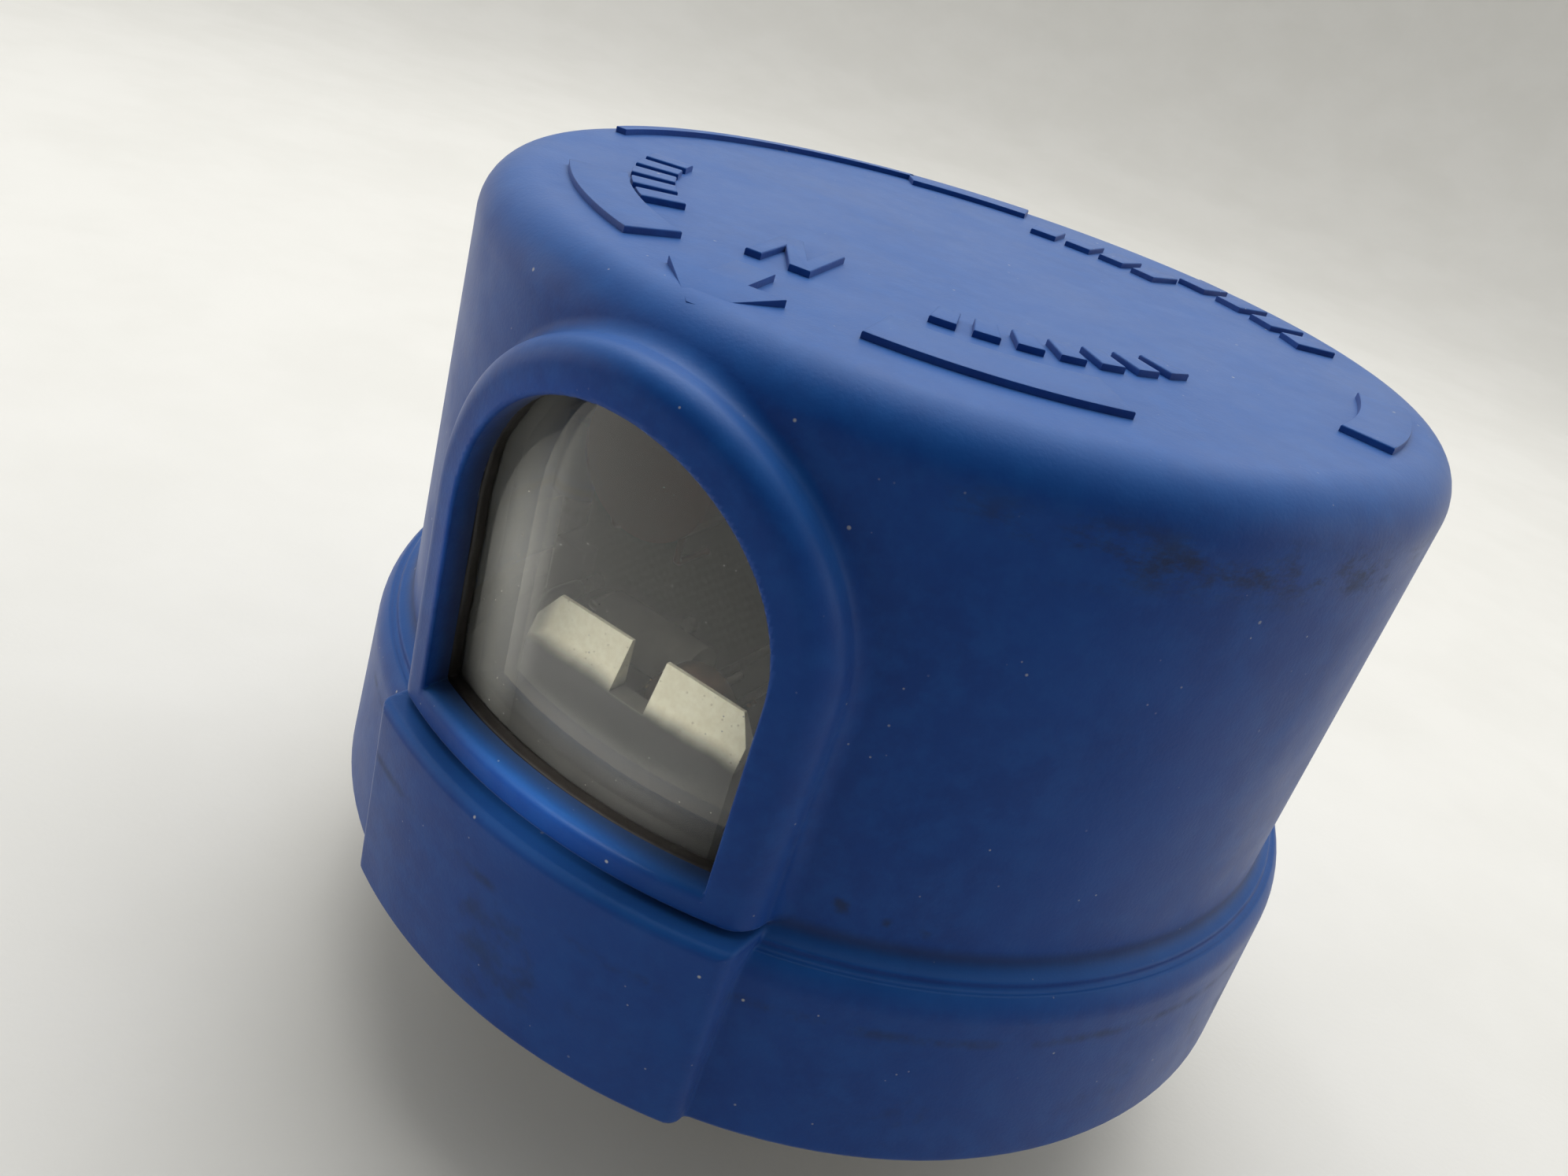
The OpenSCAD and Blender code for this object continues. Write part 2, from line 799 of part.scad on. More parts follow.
// L-shaped steel yoke: the foot carries the core, and the upright's top edge is the pivot
module relay_yoke() {
    color([0.62, 0.62, 0.6])
        difference() {
            union() {
                translate([-yoke_w / 2, armature_front_y, relay_floor_z])
                    cube([yoke_w, yoke_leg_y + steel_t - armature_front_y, steel_t]);
                translate([-yoke_w / 2, yoke_leg_y, relay_floor_z])
                    cube([yoke_w, steel_t, pivot_z - relay_floor_z]);
                translate([-bracket_w / 2, yoke_leg_y, bracket_z])
                    cube([bracket_w, armature_tail_y - yoke_leg_y, steel_t]);
            }
            translate([0, relay_y, relay_floor_z - lap])
                cylinder(r = core_r, h = steel_t + 2 * lap);
            translate([0, spring_y, bracket_z - lap])
                cylinder(r = small_hole_r, h = steel_t + 2 * lap);
        }
}

module relay_core() {
    color([0.7, 0.7, 0.68])
        translate([0, relay_y, relay_floor_z]) {
            cylinder(r = core_r, h = pole_h);
            translate([0, 0, pole_h - pole_t])
                cylinder(r = pole_r, h = pole_t);
        }
}

module relay_bobbin() {
    tube_r = core_r + 1.1;
    color([0.86, 0.85, 0.8])
        translate([0, relay_y, 0])
            difference() {
                union() {
                    ring(core_r + fit, tube_r, bobbin_foot_z, bobbin_top_z);
                    ring(core_r + fit, bobbin_flange_r, bobbin_foot_z, bobbin_foot_z + bobbin_flange_t);
                    ring(core_r + fit, bobbin_flange_r, bobbin_top_z - bobbin_flange_t, bobbin_top_z);
                }
                translate([-bobbin_flange_r, yoke_leg_y - relay_y - 0.3, bobbin_foot_z - lap])
                    cube([2 * bobbin_flange_r, bobbin_flange_r, pole_h + 2 * lap]);
            }
}

module relay_coil() {
    tube_r = core_r + 1.1;
    color([0.62, 0.3, 0.14])
        translate([0, relay_y, 0])
            ring(tube_r, coil_r, bobbin_foot_z + bobbin_flange_t, bobbin_top_z - bobbin_flange_t);
}

module relay_armature() {
    tail_w = 5;
    color([0.66, 0.66, 0.64])
        difference() {
            union() {
                translate([-yoke_w / 2, armature_front_y, armature_z])
                    cube([yoke_w, yoke_leg_y + steel_t - armature_front_y, steel_t]);
                translate([-tail_w / 2, yoke_leg_y, armature_z])
                    cube([tail_w, armature_tail_y - yoke_leg_y, steel_t]);
            }
            translate([0, spring_y, armature_z - lap])
                cylinder(r = small_hole_r, h = steel_t + 2 * lap);
            for (y = leaf_rivet_ys)
                translate([0, y, armature_z - lap])
                    cylinder(r = small_hole_r, h = steel_t + 2 * lap);
        }
}

module contact_leaf() {
    color([0.74, 0.55, 0.3])
        difference() {
            translate([-leaf_w / 2, leaf_front_y, leaf_z])
                cube([leaf_w, leaf_back_y - leaf_front_y, leaf_t]);
            translate([0, contact_y, leaf_z - lap])
                cylinder(r = small_hole_r, h = leaf_t + 2 * lap);
            for (y = leaf_rivet_ys)
                translate([0, y, leaf_z - lap])
                    cylinder(r = small_hole_r, h = leaf_t + 2 * lap);
        }
}

// Two rivets that fix the leaf to the armature
module leaf_rivets() {
    foot = 0.1;
    head_r = 1.3;
    head_h = 0.5;
    color([0.75, 0.72, 0.6])
        for (y = leaf_rivet_ys)
            translate([0, y, 0]) {
                translate([0, 0, armature_z + foot])
                    cylinder(r = small_hole_r, h = steel_t + leaf_t - foot);
                translate([0, 0, leaf_z + leaf_t]) cylinder(r = head_r, h = head_h);
            }
}

module moving_contact() {
    color([0.86, 0.86, 0.84])
        translate([0, contact_y, 0]) {
            translate([0, 0, contact_low_z])
                cylinder(r = small_hole_r, h = contact_high_z - contact_low_z);
            translate([0, 0, contact_low_z]) cylinder(r = contact_r, h = leaf_z - contact_low_z);
            translate([0, 0, leaf_z + leaf_t])
                cylinder(r = contact_r, h = contact_high_z - leaf_z - leaf_t);
        }
}

module fixed_contact() {
    color([0.86, 0.86, 0.84])
        translate([0, contact_y, fixed_contact_z])
            cylinder(r = contact_r + 0.3, h = fixed_contact_t);
}

// Strip that carries the fixed contact over the moving one and goes down through the base
module fixed_contact_strip() {
    arm_z = fixed_contact_z + fixed_contact_t;
    foot_z = relay_base_z - 1.5;
    reach = 2.4;
    color([0.78, 0.62, 0.32])
        union() {
            translate([-leaf_w / 2, strip_y, foot_z])
                cube([leaf_w, strip_t, arm_z + strip_t - foot_z]);
            translate([-leaf_w / 2, strip_y, arm_z])
                cube([leaf_w, contact_y + reach - strip_y, strip_t]);
        }
}

// Tension spring between the armature's tail and the yoke's bracket, with a straight leg at
// each end
module return_spring() {
    low_z = bracket_z + steel_t + spring_gap;
    high_z = armature_z - spring_gap;
    end_r = spring_r - spring_wire / 2;
    // Lowest and highest point of each straight leg
    legs = [[bracket_z - spring_gap, low_z + fit], [high_z - fit, armature_z + steel_t + spring_gap]];
    color([0.7, 0.7, 0.68])
        translate([0, spring_y, 0]) {
            ring(spring_r - spring_wire, spring_r, low_z, high_z);
            for (z = [low_z, high_z - spring_wire])
                translate([0, 0, z]) cylinder(r = end_r, h = spring_wire);
            for (leg = legs)
                translate([0, 0, leg[0]]) cylinder(r = spring_wire / 2, h = leg[1] - leg[0]);
        }
}

// ---- wires ----

// A point at radius r from the centre and height z, kept to tenths of a millimetre
function over_blade(at, r, z) = [round(10 * r * cos(at)) / 10, round(10 * r * sin(at)) / 10, z];

// From the end of a live blade that is in front of the board to a front pin
module live_wire(at, pin) {
    start = over_blade(at, blade_circle_r, tab_z);
    front_y = board_y - 7;
    run_z = tab_z + 2.3;
    wire([
        start,
        [start[0], start[1], run_z],
        [start[0], front_y, run_z],
        [pin[0], front_y, run_z],
        [pin[0], front_y, pin[1]],
        [pin[0], board_y - pin_reach, pin[1]]
    ], wire_r);
}

module line_wire() {
    color([0.12, 0.12, 0.12]) live_wire(line_angle + wire_turn, front_pins[0]);
}

module load_wire() {
    color([0.6, 0.1, 0.08]) live_wire(load_angle - wire_turn, front_pins[1]);
}

// From the neutral blade, under the relay's base, to a rear pin
module neutral_wire() {
    start = over_blade(neutral_angle, blade_circle_r, tab_z);
    pin = rear_pins[0];
    run_z = tab_z + 1.5;
    rise_y = 8;
    color([0.85, 0.85, 0.83])
        wire([
            start,
            [start[0], start[1], run_z],
            [pin[0], start[1], run_z],
            [pin[0], rise_y, run_z],
            [pin[0], rise_y, pin[1]],
            [pin[0], board_back_y + pin_reach, pin[1]]
        ], wire_r);
}

// Thin leads from the coil, the contact strip and the yoke to the board
module relay_leads() {
    r = 0.3;
    side_x = rear_pins[1][0];
    pin_y = board_back_y + pin_reach;
    coil_x = -coil_r - fit;
    // Heights at which the two ends of the winding leave it
    coil_ends = [bobbin_top_z - 2.2, bobbin_foot_z + 5];
    color([0.6, 0.32, 0.16]) {
        for (i = [0, 1])
            wire([
                [coil_x, relay_y, coil_ends[i]],
                [side_x, relay_y, coil_ends[i]],
                [side_x, relay_y, rear_pins[i + 1][1]],
                [side_x, pin_y, rear_pins[i + 1][1]]
            ], r);
        for (lead = [[strip_lead, strip_y], [yoke_lead, armature_front_y]]) {
            x = lead[0][0];
            z = lead[0][1];
            rod([x, board_y - lead_stub, z], [x, lead[1], z], r);
        }
    }
}

cover();
window_lens();
window_seal();
base_plate();
seat_gasket();
cover_screws();
line_blade();
load_blade();
neutral_blade();
blade_rivets();
light_baffle();
photocell();
photocell_leads();
circuit_board();
surge_arrester();
film_capacitor();
filter_capacitor();
dropper_resistor();
small_resistors();
rectifier_diodes();
board_pins();
relay_base();
relay_yoke();
relay_core();
relay_bobbin();
relay_coil();
relay_armature();
contact_leaf();
leaf_rivets();
moving_contact();
fixed_contact();
fixed_contact_strip();
return_spring();
line_wire();
load_wire();
neutral_wire();
relay_leads();
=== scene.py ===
"""The looks of a twist-lock photocontrol for a street light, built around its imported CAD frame."""

import json
import math

import bmesh
import bpy
import numpy as np
from mathutils import Matrix, Vector


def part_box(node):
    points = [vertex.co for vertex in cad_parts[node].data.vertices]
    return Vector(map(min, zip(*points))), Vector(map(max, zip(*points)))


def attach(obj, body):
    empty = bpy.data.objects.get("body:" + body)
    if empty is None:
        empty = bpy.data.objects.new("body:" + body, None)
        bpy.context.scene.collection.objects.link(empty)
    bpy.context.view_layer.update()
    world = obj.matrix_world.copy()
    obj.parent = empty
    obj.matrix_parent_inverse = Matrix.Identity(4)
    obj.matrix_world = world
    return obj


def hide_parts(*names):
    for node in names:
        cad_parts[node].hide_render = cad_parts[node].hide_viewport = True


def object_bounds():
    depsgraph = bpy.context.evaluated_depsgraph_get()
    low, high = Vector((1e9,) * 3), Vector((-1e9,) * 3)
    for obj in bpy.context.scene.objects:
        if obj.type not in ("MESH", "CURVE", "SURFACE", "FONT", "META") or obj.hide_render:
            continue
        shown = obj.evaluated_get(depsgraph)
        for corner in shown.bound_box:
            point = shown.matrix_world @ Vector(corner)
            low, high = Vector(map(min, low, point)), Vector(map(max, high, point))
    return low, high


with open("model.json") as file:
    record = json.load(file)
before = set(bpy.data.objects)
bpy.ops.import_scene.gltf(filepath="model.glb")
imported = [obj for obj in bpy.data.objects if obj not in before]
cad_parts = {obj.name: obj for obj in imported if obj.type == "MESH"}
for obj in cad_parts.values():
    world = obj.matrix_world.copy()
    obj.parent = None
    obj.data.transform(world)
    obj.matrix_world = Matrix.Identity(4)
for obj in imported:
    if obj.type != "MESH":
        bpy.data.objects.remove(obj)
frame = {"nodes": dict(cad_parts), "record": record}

MM = 0.001
CAD_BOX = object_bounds()
NODES = frame["nodes"]


# ---- dimensions, in millimetres, read from the frame ----

def box_mm(node):
    """Lowest and highest corner of a CAD node, in millimetres."""
    low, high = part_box(node)
    return np.array(low) / MM, np.array(high) / MM


COVER_LOW, COVER_HIGH = box_mm("cover")
LENS_LOW, LENS_HIGH = box_mm("window_lens")
SEAL_LOW, SEAL_HIGH = box_mm("window_seal")
BASE_LOW, BASE_HIGH = box_mm("base_plate")
GASKET_LOW, GASKET_HIGH = box_mm("seat_gasket")
BLADE_LOW, BLADE_HIGH = box_mm("neutral_blade")

MARK_H = 0.5
TOP_Z = COVER_HIGH[2] - MARK_H
RIM_Z = COVER_LOW[2]
SKIRT_R = COVER_HIGH[0]
SKIRT_TOP_R = SKIRT_R - 0.7
PANEL_R = -COVER_LOW[1]
WALL = 2.2
LEDGE_Z = 16.5
SHOULDER_ROUND = 3.0
BODY_R = 39.2
BODY_TOP_R = 38.7
TOP_ROUND = 4.0

LENS_R = -LENS_LOW[1]
LENS_HALF = LENS_HIGH[0]
LENS_IN_R = math.hypot(LENS_HALF, LENS_HIGH[1])
LENS_FOOT_Z = LENS_LOW[2]
SPRING_Z = LENS_HIGH[2] - LENS_HALF
POCKET_R = -SEAL_LOW[1]
WINDOW_HALF = LENS_HALF - 1.9
SILL_Z = LENS_FOOT_Z + 1.7
FRAME_HALF = 16.4
FRAME_R = 42.0
FRAME_FOOT_Z = LEDGE_Z + 0.5
FAR = 30.0


# ---- shapes given as distance fields, in millimetres ----

def round_union(a, b, radius):
    """Two solids joined, with a fillet where they meet."""
    corner = np.hypot(np.maximum(radius - a, 0), np.maximum(radius - b, 0))
    return np.maximum(radius, np.minimum(a, b)) - corner


def round_cut(a, b, radius):
    """What two solids share, with a round edge where their surfaces meet."""
    corner = np.hypot(np.maximum(radius + a, 0), np.maximum(radius + b, 0))
    return np.minimum(-radius, np.maximum(a, b)) + corner


def arch(x, y, z, half):
    """Distance outside the endless round-headed arch on the -Y side."""
    across = np.where(z > SPRING_Z, np.hypot(x, z - SPRING_Z), np.abs(x)) - half
    return np.where(y < 0, across, FAR)


def slope(z, z0, r0, z1, r1):
    """Radius at height z of a cone that passes through two radii."""
    return r0 + (r1 - r0) * (z - z0) / (z1 - z0)


def cover_outside(x, y, z):
    """Skirt with its panel, body, and the raised frame round the window."""
    r = np.hypot(x, y)
    body = round_cut(r - slope(z, LEDGE_Z, BODY_R, TOP_Z, BODY_TOP_R), z - TOP_Z, TOP_ROUND)
    bead_z = LEDGE_Z - SHOULDER_ROUND
    skirt = round_cut(r - slope(z, RIM_Z, SKIRT_R, bead_z, SKIRT_TOP_R), z - LEDGE_Z, SHOULDER_ROUND)
    # a fine line runs round the middle of the shoulder
    line_at = math.radians(50)
    line_r = SKIRT_TOP_R - SHOULDER_ROUND * (1 - math.cos(line_at))
    line_z = LEDGE_Z - SHOULDER_ROUND * (1 - math.sin(line_at))
    line = 0.4 - np.hypot(r - line_r - 0.05, z - line_z - 0.05)
    skirt = round_cut(skirt, line, 0.08)
    rib = round_cut(arch(x, y, z, FRAME_HALF), r - FRAME_R, 1.7)
    rib = round_cut(rib, FRAME_FOOT_Z - z, 0.35)
    solid = np.minimum(round_union(body, rib, 0.9), round_union(body, skirt, 0.8))
    across = np.where(y < 0, np.abs(x) - FRAME_HALF, FAR)
    panel = round_cut(round_cut(across, z - LEDGE_Z, 0.4), r - PANEL_R, 0.8)
    solid = round_union(solid, panel, 0.22)
    return round_cut(solid, RIM_Z - z, 0.5)


def cover_field(x, y, z):
    """The cover as a hollow moulding, with its window opening and the pocket for the lens."""
    r = np.hypot(x, y)
    ceiling_z = TOP_Z - WALL
    in_body = round_cut(r - (BODY_R - WALL), z - ceiling_z, TOP_ROUND - WALL)
    in_skirt = np.maximum(r - (SKIRT_R - WALL), z - (LEDGE_Z - WALL))
    shell = np.maximum(cover_outside(x, y, z), -np.minimum(in_body, in_skirt))
    beside = round_cut(shell, -arch(x, y, z, WINDOW_HALF), 0.3)
    below = round_cut(shell, z - SILL_Z, 0.8)
    shell = np.minimum(beside, below)
    fit = 0.1
    pocket = np.maximum(arch(x, y, z, LENS_HALF + fit), LENS_FOOT_Z - fit - z)
    return np.maximum(shell, -np.maximum(pocket, r - POCKET_R))


def lens_field(x, y, z):
    """The clear lens: a curved arch with softened edges."""
    middle = (LENS_R + LENS_IN_R) / 2
    sheet = np.abs(np.hypot(x, y) - middle) - (LENS_R - LENS_IN_R) / 2
    outline = round_cut(arch(x, y, z, LENS_HALF), LENS_FOOT_Z - z, 0.3)
    return round_cut(outline, sheet, 0.3)


def seal_field(x, y, z):
    """The bead of sealant that was pressed out between the lens and the cover."""
    r = np.hypot(x, y)
    wave = 0.1 * np.sin(1.3 * x + 0.7 * z) * np.sin(0.5 * z - 0.9 * x)
    outline = np.maximum(arch(x, y, z, LENS_HALF), LENS_FOOT_Z - z)
    opening = np.maximum(arch(x, y, z, WINDOW_HALF + 0.15 + wave), SILL_Z - 0.15 - z)
    sheet = np.abs(r - (LENS_R + POCKET_R) / 2) - (POCKET_R - LENS_R) / 2 + 0.02
    return round_cut(round_cut(outline, sheet, 0.1), -opening, 0.45)


def blade_field(at, width):
    """A locking blade: a curved strip, its hook to one side, and the ear that takes the rivet."""
    circle_r, thick, reach, hook_h = 16.65, 1.5, 3.6, 7.5
    ear_in_r, ear_half = 9.0, math.radians(11)
    low_z, high_z = BLADE_LOW[2], BLADE_HIGH[2]
    ear_z = high_z - 1.5
    lean = math.radians(at)

    def field(x, y, z):
        r = np.hypot(x, y)
        turn = (np.arctan2(y, x) - lean + math.pi) % (2 * math.pi) - math.pi
        along = turn * circle_r
        sheet = np.abs(r - circle_r) - thick / 2
        strip = round_cut(np.abs(along) - width / 2, low_z - z, 0.5)
        hook = round_cut(np.abs(along - reach / 2) - (width + reach) / 2, z - low_z - hook_h, 0.4)
        hook = round_cut(hook, low_z - z, 0.8)
        outline = np.maximum(round_union(strip, hook, 0.5), z - high_z)
        blade = round_cut(round_cut(outline, sheet, 0.2), sheet + low_z - z, 0.3)
        ear = round_cut(r * np.sin(np.abs(turn) - ear_half), ear_in_r - r, 1.2)
        ear = round_cut(np.maximum(ear, r - circle_r), np.abs(z - (ear_z + high_z) / 2) - 0.75, 0.15)
        return round_union(blade, ear, 0.2)

    return field


# ---- meshes from fields ----

def spans(start, *steps):
    """An axis of grid values: each step is (stop, spacing)."""
    values = [start]
    for stop, spacing in steps:
        count = max(1, round((stop - values[-1]) / spacing))
        values.extend(np.linspace(values[-1], stop, count + 1)[1:])
    return np.array(values)


def gradient(field, points):
    """Direction in which a field grows fastest at each point."""
    h = 0.02
    out = np.empty_like(points)
    for axis in range(3):
        step = np.zeros(3)
        step[axis] = h
        out[:, axis] = field(*(points + step).T) - field(*(points - step).T)
    return out / (2 * h)


def to_xyz(turn, r, z):
    return np.stack([r * np.cos(turn), r * np.sin(turn), z], axis=-1)


def field_mesh(name, field, turns, radii, heights, whole_turn=False):
    """The surface of a field, found on a grid round the Z axis (turns in degrees).

    Each grid cell that the surface crosses gets one vertex, which is then moved onto the
    surface. Each grid edge that it crosses gets one face, between the four cells round it."""
    turns = np.radians(turns)
    shape = (len(turns), len(radii), len(heights))
    grid = np.meshgrid(turns, radii, heights, indexing="ij")
    value = field(grid[1] * np.cos(grid[0]), grid[1] * np.sin(grid[0]), grid[2])
    inside = value < 0
    cells = shape if whole_turn else (shape[0] - 1, shape[1], shape[2])
    total = np.zeros((cells[0] * cells[1] * cells[2], 3))
    hits = np.zeros(len(total), int)
    quads = []
    for axis in range(3):
        ahead = np.roll(inside, -1, axis)
        crossing = inside != ahead
        if axis or not whole_turn:
            last = [slice(None)] * 3
            last[axis] = -1
            crossing[tuple(last)] = False
        at = np.argwhere(crossing)
        nxt = at.copy()
        nxt[:, axis] = (nxt[:, axis] + 1) % shape[axis]
        v0 = value[tuple(at.T)]
        v1 = value[tuple(nxt.T)]
        share = v0 / (v0 - v1)
        low = np.stack([turns[at[:, 0]], radii[at[:, 1]], heights[at[:, 2]]], -1)
        high = np.stack([turns[nxt[:, 0]], radii[nxt[:, 1]], heights[nxt[:, 2]]], -1)
        high[:, 0] += np.where(high[:, 0] < low[:, 0], 2 * np.pi, 0)
        point = to_xyz(*(low + (high - low) * share[:, None]).T)
        others = [a for a in range(3) if a != axis]
        corners = []
        usable = np.ones(len(at), bool)
        for da, db in ((0, 0), (1, 0), (1, 1), (0, 1)):
            cell = at.copy()
            cell[:, others[0]] -= da
            cell[:, others[1]] -= db
            if whole_turn:
                cell[:, 0] %= shape[0]
            usable &= (cell >= 0).all(1) & (cell[:, 0] < cells[0])
            corners.append(cell)
        for cell in corners:
            kept = cell[usable]
            index = (kept[:, 0] * cells[1] + kept[:, 1]) * cells[2] + kept[:, 2]
            np.add.at(total, index, point[usable])
            np.add.at(hits, index, 1)
        quads.append(np.stack([
            (c[usable][:, 0] * cells[1] + c[usable][:, 1]) * cells[2] + c[usable][:, 2]
            for c in corners
        ], -1))
    quads = np.concatenate(quads)
    used = np.unique(quads)
    number = np.full(len(total), -1)
    number[used] = np.arange(len(used))
    points = total[used] / hits[used][:, None]
    quads = number[quads]
    for _ in range(4):
        slope_at = gradient(field, points)
        size = np.maximum((slope_at ** 2).sum(1), 0.2)
        move = -(field(*points.T) / size)[:, None] * slope_at
        length = np.linalg.norm(move, axis=1, keepdims=True)
        points = points + move * np.minimum(1, 0.4 / np.maximum(length, 1e-9))
    normals = gradient(field, points)
    normals /= np.maximum(np.linalg.norm(normals, axis=1, keepdims=True), 1e-9)
    corner = points[quads]
    facing = np.cross(corner[:, 2] - corner[:, 0], corner[:, 3] - corner[:, 1])
    wrong = (facing * normals[quads].mean(1)).sum(1) < 0
    quads[wrong] = quads[wrong][:, ::-1]
    return new_piece(name, points, quads.tolist(), normals)


def new_piece(name, points, faces, normals=None):
    """A mesh object from points in millimetres."""
    mesh = bpy.data.meshes.new(name)
    mesh.from_pydata((np.asarray(points) * MM).tolist(), [], faces)
    mesh.validate()
    mesh.shade_smooth()
    if normals is not None and len(normals) == len(mesh.vertices):
        mesh.normals_split_custom_set_from_vertices(np.asarray(normals).tolist())
    piece = bpy.data.objects.new(name, mesh)
    bpy.context.scene.collection.objects.link(piece)
    return piece


def finish_piece(piece, body, slot, *nodes):
    """Hangs a piece on its body, gives it the material of its slot, and hides the CAD nodes that it takes the
    place of.
    """
    piece.data.materials.clear()
    piece.data.materials.append(MATERIALS[slot])
    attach(piece, body)
    if nodes:
        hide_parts(*nodes)
    return piece


def join_meshes(name, parts):
    """One piece from a list of bmesh objects."""
    whole = bmesh.new()
    for part in parts:
        scratch = bpy.data.meshes.new("scratch")
        part.to_mesh(scratch)
        part.free()
        whole.from_mesh(scratch)
        bpy.data.meshes.remove(scratch)
    mesh = bpy.data.meshes.new(name)
    whole.to_mesh(mesh)
    whole.free()
    mesh.shade_smooth()
    piece = bpy.data.objects.new(name, mesh)
    bpy.context.scene.collection.objects.link(piece)
    return piece


# ---- materials ----

class Surface:
    """A material under construction, with short calls for its usual nodes."""

    def __init__(self, name, **sockets):
        self.material = bpy.data.materials.new(name)
        self.material.use_nodes = True
        self.tree = self.material.node_tree
        self.shader = self.tree.nodes["Principled BSDF"]
        self.place = self.add("ShaderNodeTexCoord").outputs["Object"]
        for socket, value in sockets.items():
            self.set(socket.replace("_", " "), value)

    def add(self, kind, **settings):
        node = self.tree.nodes.new(kind)
        for key, value in settings.items():
            setattr(node, key, value)
        return node

    def feed(self, socket, value):
        if isinstance(value, bpy.types.NodeSocket):
            self.tree.links.new(value, socket)
        else:
            socket.default_value = value

    def set(self, socket, value):
        self.feed(self.shader.inputs[socket], value)

    def math(self, operation, a, b=0.0, c=0.0):
        node = self.add("ShaderNodeMath", operation=operation)
        for socket, value in zip(node.inputs, (a, b, c)):
            self.feed(socket, value)
        return node.outputs[0]

    def stretched(self, sx, sy, sz):
        node = self.add("ShaderNodeMapping")
        self.feed(node.inputs["Vector"], self.place)
        node.inputs["Scale"].default_value = (sx, sy, sz)
        return node.outputs[0]

    def noise(self, scale, detail=3.0, rough=0.55, where=None):
        node = self.add("ShaderNodeTexNoise")
        self.feed(node.inputs["Vector"], where or self.place)
        node.inputs["Scale"].default_value = scale
        node.inputs["Detail"].default_value = detail
        node.inputs["Roughness"].default_value = rough
        return node.outputs["Fac"]

    def specks(self, scale, size, seed=0.0):
        """Small round spots: 1 inside a spot and 0 elsewhere."""
        node = self.add("ShaderNodeTexVoronoi")
        shift = self.add("ShaderNodeMapping")
        self.feed(shift.inputs["Vector"], self.place)
        shift.inputs["Location"].default_value = (seed, seed * 0.7, seed * 1.3)
        self.feed(node.inputs["Vector"], shift.outputs[0])
        node.inputs["Scale"].default_value = scale
        return self.between(node.outputs["Distance"], size, size * 0.4)

    def between(self, value, low, high):
        """0 at low and 1 at high, with a smooth change."""
        node = self.add("ShaderNodeMapRange", interpolation_type="SMOOTHSTEP")
        self.feed(node.inputs["Value"], value)
        node.inputs["From Min"].default_value = low
        node.inputs["From Max"].default_value = high
        return node.outputs[0]

    def range(self, value, low, high):
        """A 0 to 1 value spread from low to high."""
        node = self.add("ShaderNodeMapRange")
        self.feed(node.inputs["Value"], value)
        node.inputs["To Min"].default_value = low
        node.inputs["To Max"].default_value = high
        return node.outputs[0]

    def mix(self, amount, a, b):
        node = self.add("ShaderNodeMix", data_type="RGBA")
        self.feed(node.inputs["Factor"], amount)
        self.feed(node.inputs["A"], a if isinstance(a, bpy.types.NodeSocket) else (*a, 1))
        self.feed(node.inputs["B"], b if isinstance(b, bpy.types.NodeSocket) else (*b, 1))
        return node.outputs["Result"]

    def axes(self):
        node = self.add("ShaderNodeSeparateXYZ")
        self.feed(node.inputs[0], self.place)
        return node.outputs

    def bump(self, height, distance, strength=1.0, under=None):
        node = self.add("ShaderNodeBump")
        node.inputs["Strength"].default_value = strength
        node.inputs["Distance"].default_value = distance
        self.feed(node.inputs["Height"], height)
        if under is not None:
            self.feed(node.inputs["Normal"], under)
        return node.outputs[0]


def moulded(name, colour, rough=0.5, grain=0.00002, scale=2200, dust=0.15, **sockets):
    """Moulded plastic, rubber or paint: mottled colour, fine grain and a little dust."""
    s = Surface(name, **sockets)
    mottle = s.noise(180, 4)
    fine = s.noise(scale, 3)
    dark = tuple(c * 0.86 for c in colour)
    light = tuple(min(1.0, c * 1.1 + 0.002) for c in colour)
    body = s.mix(s.between(mottle, 0.3, 0.7), dark, light)
    spots = s.math("MULTIPLY", s.between(s.noise(620, 6, 0.75), 0.5, 0.8), dust * 0.6)
    s.set("Base Color", s.mix(spots, body, (0.30, 0.29, 0.26)))
    s.set("Roughness", s.range(s.between(mottle, 0.25, 0.75), rough * 0.85, min(1.0, rough * 1.15)))
    s.set("Normal", s.bump(fine, grain))
    return s.material


def metal(name, colour, rough=0.3, tarnish=(0.2, 0.16, 0.12), worn=0.3, grain=0.00001):
    """Bare or plated metal with fine drawn lines, tarnish and small scratches."""
    s = Surface(name, Metallic=1.0)
    cloud = s.noise(260, 5, 0.6)
    lines = s.noise(900, 3, 0.6, where=s.stretched(6, 6, 0.25))
    stain = s.math("MULTIPLY", s.between(cloud, 0.45, 0.75), worn)
    shade = s.mix(s.between(lines, 0.3, 0.7), tuple(c * 0.86 for c in colour), colour)
    s.set("Base Color", s.mix(stain, shade, tarnish))
    s.set("Roughness", s.range(s.between(cloud, 0.2, 0.8), rough * 0.75, min(1.0, rough * 1.6)))
    s.set("Normal", s.bump(lines, grain))
    return s.material


